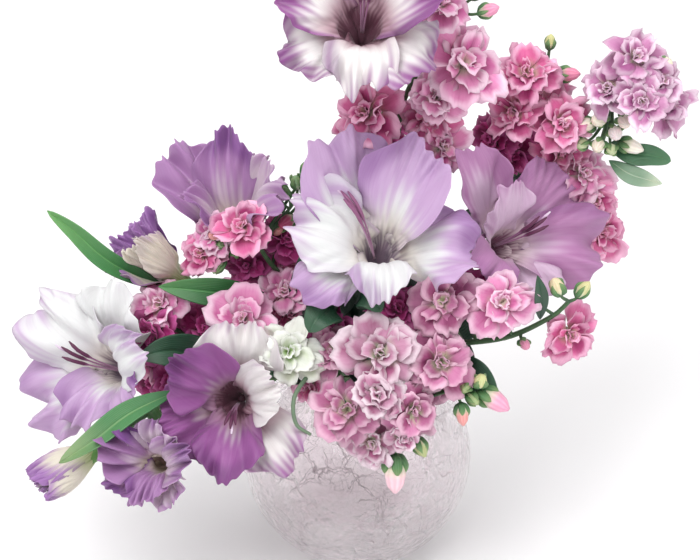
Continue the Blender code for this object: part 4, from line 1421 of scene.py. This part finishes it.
ROSE, MAUVE, PINK, PALE, MAGENTA, LILAC, CREAM = StockTint
SPRAYS = (
    StockSpray(
        "tall",
        StemLine(
            (8, 3),
            ((14, 12, 40), (23, 22, 91), (24, 26, 141), (29, 26, 178), (45, 26, 210), (55, 24, 242)),
        ),
        (
            ((65, 6, 214), (0.4, -0.64, 0.65), 1.2, PINK),
            ((48, 0, 193), (0, -0.89, 0.46), 0.85, PINK),
            ((5, 6, 179), (-0.41, -0.77, 0.5), 1.05, ROSE),
            ((53, 8, 154), (0.3, -0.8, 0.52), 0.85, PINK),
            ((20, 12, 147), (0, -0.93, 0.36), 0.7, MAGENTA),
            ((50, 12, 252), (0, -0.55, 0.84), 0.85, PINK),
            ((42, 44, 196), (0.19, 0.91, -0.36), 0.85, ROSE),
            ((17, 47, 151), (-0.29, 0.8, -0.52), 0.85, MAGENTA),
            ((0, 14, 164), (-0.5, -0.72, 0.3), 0.9, ROSE),
            ((36, 10, 134), (0.1, -0.85, 0.4), 0.85, PINK),
            ((36, 16, 252), (-0.4, -0.6, 0.7), 0.7, PINK),
            ((44, 10, 172), (-0.2, -0.9, 0.2), 0.85, ROSE),
        ),
        (
            Bud((78, 16, 244), 1.3, "E08FB0"),
            Bud((71, 18, 254), 1, "9FAE7A", 0.2),
            Bud((66, 22, 262), 0.9, "8FA470", 0.2),
        ),
        4,
        1.4,
    ),
    StockSpray(
        "right",
        StemLine(
            (12, 14),
            ((20, 28, 20), (52, 44, 60), (96, 52, 97), (112, 50, 141), (116, 46, 180), (118, 44, 194)),
        ),
        (
            ((104, 22, 199), (-0.1, -0.63, 0.77), 0.92, ROSE),
            ((126, 18, 165), (0.3, -0.8, 0.52), 0.96, ROSE),
            ((96, 22, 170), (-0.41, -0.77, 0.5), 0.85, ROSE),
            ((98, 38, 132), (-0.3, -0.85, 0.43), 0.85, MAGENTA),
            ((131, 64, 98), (0.3, -0.92, 0.24), 0.8, MAGENTA),
            ((116, 68, 161), (0.1, 0.96, -0.28), 0.9, ROSE),
            ((119, 74, 114), (0.1, 0.71, -0.7), 0.9, ROSE),
            ((84, 30, 146), (-0.5, -0.8, 0.4), 0.8, MAGENTA),
            ((128, 34, 134), (0.2, -0.9, 0.4), 0.85, ROSE),
            ((112, 34, 186), (0.1, -0.8, 0.5), 0.8, ROSE),
        ),
        (
            Bud((130, 40, 187), 1.4, "DE7FA0"),
            Bud((119, 42, 208), 1, "C9C98A", 0.3),
        ),
        2,
        1.6,
    ),
    StockSpray(
        "far_right",
        StemLine(
            (15, -1),
            (
                (36, 4, 20), (88, 22, 56), (126, 38, 86), (150, 50, 116),
                (157, 46, 145), (160, 38, 168), (171, 34, 189), (180, 34, 207),
            ),
        ),
        (
            ((170, 16, 212), (0.2, -0.53, 0.82), 0.92, LILAC),
            ((192, 12, 182), (0.51, -0.72, 0.47), 0.9, LILAC),
            ((143, 30, 121), (0.3, -0.74, 0.6), 0.95, PINK),
            ((156, 24, 81), (0.51, -0.84, 0.19), 0.95, ROSE),
            ((153, 10, 194), (-0.31, -0.67, 0.68), 0.82, LILAC),
            ((173, -3, 192), (0, -0.88, 0.46), 0.75, LILAC),
            ((177, 54, 183), (0.1, 0.96, -0.28), 0.9, LILAC),
            ((184, 12, 198), (0.4, -0.6, 0.7), 0.8, LILAC),
            ((150, 26, 104), (0.3, -0.85, 0.4), 0.85, ROSE),
        ),
        (
            Bud((188, 22, 205), 1.2, "E3D9C0"),
            Bud((143, 24, 160), 1.4, "EFE3D6", 0.5),
            Bud((150, 20, 166), 1.4, "E9E4CF", 0.5),
            Bud((160, 18, 158), 1.4, "EFE3E2", 0.5),
            Bud((150, 16, 150), 1.3, "E6DCC9", 0.4),
            Bud((140, 18, 150), 1.2, "B9C79A", 0.2),
            Bud((158, 16, 147), 1.1, "B9C79A", 0.2),
            Bud((165, 18, 166), 1.3, "EFE3D6", 0.5),
            Bud((170, 22, 146), 1.4, "F1EBDD", 0.6, (0.9, -0.3, -0.2)),
            Bud((134, 22, 164), 1.3, "EBCBD0", 0.5),
        ),
        4,
        1.3,
    ),
    StockSpray(
        "lower_right",
        StemLine(
            (18, -8),
            ((30, -20, 20), (42, -34, 34), (64, -46, 43), (94, -52, 52), (120, -52, 67), (130, -52, 78)),
        ),
        (
            ((88, -68, 88), (0.2, -0.76, 0.62), 1, PINK),
            ((132, -54, 55), (0.31, -0.89, 0.33), 0.85, ROSE),
            ((52, -68, 89), (0, -0.78, 0.63), 1, MAUVE),
            ((72, -44, 78), (0.1, -0.8, 0.6), 0.8, MAGENTA),
            ((40, -76, 30), (0.3, -0.85, 0.3), 0.75, MAUVE),
            ((30, -52, 66), (0, -0.75, 0.66), 0.9, MAGENTA),
        ),
        (
            Bud((122, -58, 92), 1.4, "D9C9A0", 0.3),
            Bud((138, -52, 86), 1.2, "C9C58E", 0.3),
            Bud((103, -60, 52), 1, "D98AA8"),
            Bud((112, -54, 80), 0.9, "DDA3B8"),
        ),
        3,
    ),
    StockSpray(
        "centre",
        StemLine(
            (8, -8),
            ((12, -28, 34), (14, -48, 50), (16, -66, 48), (18, -78, 34), (21, -84, 7), (22, -88, -12)),
        ),
        (
            ((13, -93, 68), (0, -0.78, 0.63), 1.1, PALE),
            ((51, -89, 58), (0.2, -0.82, 0.53), 1.08, MAUVE),
            ((-15, -76, 57), (-0.4, -0.71, 0.58), 0.85, MAUVE),
            ((-7, -104, 34), (-0.29, -0.85, 0.44), 1, MAUVE),
            ((24, -62, 80), (0, -0.55, 0.84), 0.8, MAGENTA),
            ((8, -104, 8), (-0.1, -0.98, 0.16), 0.8, PALE),
            ((34, -104, 32), (0.31, -0.89, 0.33), 0.85, MAUVE),
            ((12, -106, 46), (0.1, -0.8, 0.5), 0.85, PALE, 14),
            ((-18, -62, 66), (-0.3, -0.7, 0.6), 0.75, MAGENTA),
            ((-32, -72, 30), (-0.6, -0.7, 0.3), 0.65, ROSE, 20),
            ((28, -108, 14), (0.2, -0.9, 0.1), 0.5, PALE, 40),
        ),
        (
            Bud((23, -104, -14), 2.1, "EBBFCB", 0.6, (0, -0.35, -0.93)),
            Bud((64, -92, 22), 1.2, "DE9490", 0.5, (0.1, -0.6, -0.7)),
            Bud((75, -84, 40), 1.3, "C9CC8E", 0.3, (0.1, -0.5, 0.8)),
            Bud((83, -82, 26), 1.9, "E59DBB", 0.6, (0.8, -0.4, -0.4)),
            Bud((70, -84, 28), 1.1, "9FB07A", 0.2, (0.5, -0.8, -0.1)),
            Bud((66, -84, 36), 1.1, "9FB07A", 0.2, (-0.2, -0.8, 0.3)),
            Bud((38, -104, 6), 1.2, "A9B07A", 0.3, (0.4, -0.6, -0.6)),
        ),
        4,
    ),
    StockSpray(
        "left",
        StemLine(
            (-9, -8),
            (
                (-18, -22, 30), (-40, -42, 48), (-62, -40, 44),
                (-84, -30, 38), (-106, -34, 41), (-121, -34, 49),
            ),
        ),
        (
            ((-71, -58, 69), (-0.1, -0.7, 0.7), 1, PINK),
            ((-43, -81, 60), (-0.1, -0.78, 0.62), 0.9, CREAM),
            ((-46, -34, 74), (0, -0.64, 0.77), 0.75, PINK),
            ((-124, -36, 66), (-0.3, -0.5, 0.81), 0.9, PINK),
            ((-129, -52, 52), (-0.5, -0.77, 0.38), 0.8, MAGENTA),
            ((-100, -24, 36), (0, -0.78, 0.63), 0.85, MAGENTA),
            ((-113, -46, 12), (-0.2, -0.87, 0.45), 0.9, ROSE),
            ((-94, 12, 34), (-0.15, 0.94, -0.1), 0.85, ROSE),
            ((-136, -40, 36), (-0.4, -0.8, 0.4), 0.85, ROSE),
            ((-96, -36, 48), (0, -0.8, 0.6), 0.8, MAGENTA),
            ((-42, -34, 60), (0.2, -0.8, 0.5), 0.75, ROSE),
            ((-116, -58, 22), (-0.2, -0.9, 0.2), 0.8, MAGENTA),
            ((-128, -34, 6), (-0.3, -0.9, 0.1), 0.85, MAGENTA),
        ),
        (),
        2,
    ),
    StockSpray(
        "upper_left",
        StemLine((-7, 3), ((-15, -2, 27), (-36, -12, 56), (-54, -22, 86), (-62, -27, 104))),
        (
            ((-71, -42, 127), (-0.1, -0.63, 0.77), 0.8, ROSE),
            ((-98, -26, 97), (-0.5, -0.6, 0.63), 0.75, ROSE),
            ((-44, -16, 102), (0.3, -0.74, 0.6), 0.75, MAGENTA),
            ((-47, -12, 90), (0.2, -0.85, 0.4), 0.75, ROSE),
            ((-92, -28, 112), (-0.5, -0.7, 0.5), 0.6, PINK),
            ((-70, -20, 84), (-0.2, -0.85, 0.4), 0.7, MAGENTA),
        ),
        (
            Bud((-30, -12, 149), 1.5, "E59CBB", 0.5, (0.4, -0.3, 0.8)),
            Bud((-38, -12, 139), 1.15, "7FA070", 0.1, (-0.1, -0.4, 0.9)),
            Bud((-45, -12, 132), 1.1, "7FA070", 0.1, (-0.4, -0.4, 0.8)),
            Bud((-51, -14, 124), 1.3, "D9DBA4", 0.35, (-0.8, -0.4, 0.3)),
            Bud((-44, -14, 113), 1.4, "B8446F", 0.5, (-0.4, -0.8, 0.1)),
            Bud((-49, -16, 108), 0.9, "DE9490", 0.5, (-0.5, -0.8, -0.2)),
            Bud((-33, -10, 134), 1, "7FA070", 0.1, (0.1, -0.4, 0.9)),
            Bud((-84, -30, 106), 0.8, "7FA070", 0.1, (-0.3, -0.8, 0.3)),
            Bud((-86, -30, 91), 1.1, "9DB884", 0.2, (-0.5, -0.7, -0.4)),
            Bud((-76, -32, 101), 0.8, "7FA070", 0.1, (0.3, -0.9, 0.2)),
            Bud((-89, -30, 112), 0.9, "DE9490", 0.5, (-0.3, -0.7, 0.6)),
        ),
        0,
    ),
)

LEAVES = (
    Blade(
        "spathe_long_left",
        ((-122, -16, 64), (-154, -29, 92), (-175, -30, 115), (-191, -28, 129)),
        6.5, "spathe",
        fullness=0.6, fold=0.6, colours=("1B4A2C", "3A7E42", "649C58"),
    ),
    Blade(
        "spathe_middle_left", ((-50, -30, 62), (-74, -36, 72), (-98, -40, 78), (-124, -38, 80)), 9, "spathe",
        fold=0.4, colours=("163E26", "24602F", "4C8648"),
    ),
    Blade(
        "spathe_lower_left",
        ((-112, -93, 39), (-139, -106, 32), (-161, -118, 20), (-182, -126, 9)),
        7.5, "spathe",
        facing=(0, -0.5, 0.86), fullness=0.6, fold=0.5, colours=("2C6638", "45804A", "7E9A66"),
    ),
    Blade("leaf_long_left", ((-88, -42, 26), (-104, -62, 46), (-119, -70, 53), (-136, -74, 51)), 12),
    Blade(
        "leaf_round_left", ((-8, -48, 66), (-15, -64, 84), (-24, -80, 86), (-30, -86, 78)), 12,
        fullness=0.55,
    ),
    Blade("leaf_round_right", ((-2, -48, 74), (2, -64, 92), (8, -74, 95), (14, -80, 89)), 10, fullness=0.55),
    Blade("leaf_pointed_left", ((-24, -56, 32), (-39, -73, 40), (-48, -81, 45), (-57, -84, 46)), 8),
    Blade(
        "leaf_far_right_upper", ((158, 30, 143), (172, 24, 139), (184, 20, 140), (196, 18, 137)), 7,
        fullness=0.5, colours=("2C5B3C", "376B46", "4A7D55"),
    ),
    Blade(
        "leaf_far_right_lower", ((158, 26, 133), (170, 20, 127), (181, 16, 125), (191, 14, 123)), 6,
        colours=("4B7A55", "7FA083", "B9C9AE"),
    ),
    Blade(
        "leaf_slender_right", ((112, -60, 70), (112, -64, 86), (111, -66, 96), (109, -66, 106)), 4.5,
        facing=(0.2, -1, 0.2),
    ),
    Blade("leaf_lower_right", ((58, -58, 36), (68, -70, 38), (78, -78, 33), (86, -82, 26)), 10),
    Blade(
        "leaf_back_left", ((-28, 24, 20), (-48, 46, 40), (-64, 62, 44), (-78, 74, 38)), 13,
        facing=(0, 0.5, 0.86),
    ),
    Blade(
        "leaf_back_right", ((34, 34, 16), (52, 62, 34), (66, 80, 36), (80, 94, 28)), 13,
        facing=(0, 0.5, 0.86),
    ),
)
# Dark blades in the gaps deep in the bouquet, each a route, a half width and the way it faces. They stand for
# leaves in shade, and their near-black green is painted shade.
SHADE_FILLERS = (
    (((20, -14, 20), (34, -30, 52), (38, -38, 82), (40, -34, 104)), 16, (0.2, -0.9, 0.3)),
    (((-8, -10, 20), (-20, -28, 46), (-30, -34, 72), (-36, -28, 96)), 16, (-0.2, -0.9, 0.3)),
    (((10, -16, 14), (6, -44, 30), (4, -66, 36), (0, -84, 30)), 15, (0, -0.6, 0.8)),
    (((24, -12, 14), (46, -30, 30), (62, -50, 36), (72, -66, 30)), 14, (0.2, -0.7, 0.7)),
    (((-16, -10, 12), (-44, -20, 26), (-70, -28, 34), (-92, -30, 30)), 14, (-0.2, -0.7, 0.7)),
    (((-18, 2, 24), (-40, -4, 50), (-56, -8, 74), (-66, -8, 92)), 13, (-0.3, -0.9, 0.3)),
    (((30, 14, 40), (56, 26, 66), (84, 34, 92), (104, 38, 116)), 12, (0.2, -0.9, 0.3)),
    (((6, 10, 60), (10, 14, 90), (14, 16, 118), (12, 20, 140)), 12, (0, -0.9, 0.3)),
    (((-10, -6, 16), (-6, -16, 38), (-2, -20, 56), (6, -20, 74)), 15, (0, -0.9, 0.3)),
    (((38, -8, 20), (56, -16, 34), (68, -20, 44), (78, -20, 60)), 13, (0.2, -0.9, 0.3)),
)
CURLED_STALK = ((-22, -52, 34), (-30, -80, 43), (-39, -101, 40), (-38, -107, 25), (-29, -109, 18))


# ---------------------------------------------------------------- studio


@dataclass
class Studio:
    """Pale paper, wide soft lights and the camera that looks down at the bouquet's front. Its
    sizes are in metres, from the vase's foot."""

    target: Triple = (-0.005, 0.0, 0.2007)
    distance: float = 1.8
    elevation: float = 33.0
    lens: float = 145.6
    sensor: float = 36.0
    daylight: float = 0.62

    def build(self, wardrobe: Wardrobe) -> None:
        """Sets up the floor, the lights, the world and the camera."""
        deselect()
        bpy.ops.mesh.primitive_plane_add(size=6)
        floor = bpy.context.active_object
        floor.name = "paper_floor"
        wardrobe.dress(floor, Finish.PAPER)
        self._light("key", (-0.6, -1.1, 1.9), 1.1, 26)
        self._light("top", (0.3, 0.2, 1.9), 1.8, 14)
        self._light("fill", (1.3, -0.9, 0.8), 1.0, 5)
        world = bpy.data.worlds.new("studio")
        world.use_nodes = True
        adjust(world.node_tree.nodes["Background"], {"Color": srgb("FFFFFF"), "Strength": self.daylight})
        scene = bpy.context.scene
        scene.world = world
        scene.view_settings.view_transform = "Standard"
        scene.camera = self._camera()

    def _light(self, name: str, place: Triple, size: float, watts: float) -> None:
        """Adds one soft box that faces the bouquet."""
        deselect()
        bpy.ops.object.light_add(type="AREA", location=place)
        lamp = bpy.context.active_object
        lamp.name = f"softbox_{name}"
        lamp.data.size = size
        lamp.data.energy = watts
        way = Vector(self.target) - Vector(place)
        lamp.rotation_euler = way.to_track_quat("-Z", "Y").to_euler()

    def _camera(self) -> Piece:
        """Adds the camera."""
        deselect()
        tilt = math.radians(self.elevation)
        away = Vector((0, -math.cos(tilt), math.sin(tilt))) * self.distance
        bpy.ops.object.camera_add(location=Vector(self.target) + away, rotation=(math.pi / 2 - tilt, 0, 0))
        camera = bpy.context.active_object
        camera.data.lens = self.lens
        camera.data.sensor_width = self.sensor
        camera.data.clip_start = 0.05
        return camera


# ---------------------------------------------------------------- the bouquet


@dataclass
class Bouquet:
    """Builds, dresses and seats every piece."""

    wardrobe: Wardrobe
    bench: Bench

    def seat(self, piece: Piece, finish: Finish, slot: str, *nodes: str) -> None:
        """Dresses a piece and hangs it on the frame.

        Args:
            piece: The finished piece.
            finish: What it wears.
            slot: The record's material slot; not used.
            *nodes: The frame's nodes that it stands for.
        """
        self.wardrobe.dress(piece, finish)
        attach(piece, BODY)
        if nodes:
            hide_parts(*nodes)
        log.info("%s: %d faces", piece.name, len(piece.data.polygons))

    def gladioli(self) -> None:
        """Builds the gladiolus blooms, their stamens and their stems."""
        for bloom in BLOOMS:
            self.seat(bloom.build(self.bench), Finish.GLADIOLUS, bloom.slot, f"gladiolus_flower_{bloom.name}")
            if bloom.stamens:
                self.seat(bloom.filaments(self.bench), Finish.ANTHER, "stamen", f"stamens_{bloom.name}")
        for name, line in GLADIOLUS_STEMS.items():
            parts = [line.stalk(self.bench, [(0, "6E8C58"), (0.4, "4C7040"), (1, "3F6B3A")], 5, 0.03)]
            for bloom in BLOOMS:
                if bloom.stem == name:
                    parts += bloom.neck(self.bench, line)
            piece = joined(parts, f"gladiolus_stalk_{name}")
            self.seat(piece, Finish.STEM, "gladiolus_stem", f"gladiolus_stem_{name}")

    def tip_bud(self) -> None:
        """Builds the closed bud at the tip of the lower left gladiolus, and its sheath."""
        way = TIP_BUD.face.ahead
        start = self.bench.at(GLADIOLUS_STEMS["lower_left"].route[-1]) + way * 2 * MM
        end = start + way * 60 * MM
        up = way.cross(UP).normalized().cross(way)
        route = [start - way * 3 * MM, start.lerp(end, 0.3) - up * 3.5 * MM]
        route.append(start.lerp(end, 0.62) - up * 5 * MM)
        radii = [(0, 3.4), (0.3, 6.6), (0.7, 5.0), (1, 0.4)]
        greens = [(0, "3F7A3E"), (0.6, "6C9A50"), (1, "9AB06E")]
        sheath = self.bench.twig.drawn("sheath", route, radii, greens, 2, 0.2)
        piece = joined([TIP_BUD.build(self.bench), sheath], "gladiolus_tip_bud")
        self.seat(piece, Finish.GLADIOLUS, TIP_BUD.slot, "gladiolus_bud")

    def stock(self) -> None:
        """Builds the sprays of stock."""
        for spray in SPRAYS:
            parts = [spray.stem.stalk(self.bench, [(0, "60805A"), (0.4, "3A5A3C"), (1, "45663F")])]
            for flower, node in spray.florets():
                self.seat(flower.build(self.bench), Finish.STOCK, flower.tint.slot, node)
                parts += flower.neck(self.bench, spray.stem)
            for bud in spray.buds:
                parts += bud.build(self.bench, spray.stem)
            self.seat(joined(parts, f"stock_stalk_{spray.name}"), Finish.STEM, "stock_stem", spray.node)

    def leaves(self) -> None:
        """Builds the leaves, the sheaths and the stalk that curls over the vase's shoulder."""
        for seed, blade in enumerate(LEAVES, 1):
            self.seat(blade.build(self.bench, seed), Finish.LEAF, blade.slot, blade.name)
        # Blades of painted shade fill the gaps deep in the bouquet.
        for number, (route, half_width, facing) in enumerate(SHADE_FILLERS, 1):
            blade = Blade(f"fill_{number}", route, half_width, facing=facing, colours=PAINTED_SHADE_GREEN)
            self.seat(blade.build(self.bench, len(LEAVES) + number), Finish.LEAF, blade.slot)
        route = [self.bench.at(place) for place in CURLED_STALK]
        shades = [(0, "4F6B50"), (1, "6C8268")]
        curl = self.bench.stem.drawn("curling_stalk", route, [(0, 1.6), (0.8, 1.3), (1, 1.0)], shades)
        self.seat(curl, Finish.STEM, "leaf", "curled_stalk")


def main() -> None:
    """Builds the studio and the bouquet around the frame."""
    logging.basicConfig(level=logging.INFO, format="%(message)s")
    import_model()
    wardrobe = Wardrobe()
    Studio().build(wardrobe)
    bench = Bench(Vector((0, 0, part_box("vase")[1][2])))
    bouquet = Bouquet(wardrobe, bench)
    bouquet.seat(GlobeVase().build(), Finish.GLASS, "vase_glass", "vase")
    bouquet.gladioli()
    bouquet.tip_bud()
    bouquet.stock()
    bouquet.leaves()
    bench.clear()


if __name__ == "__main__":
    main()
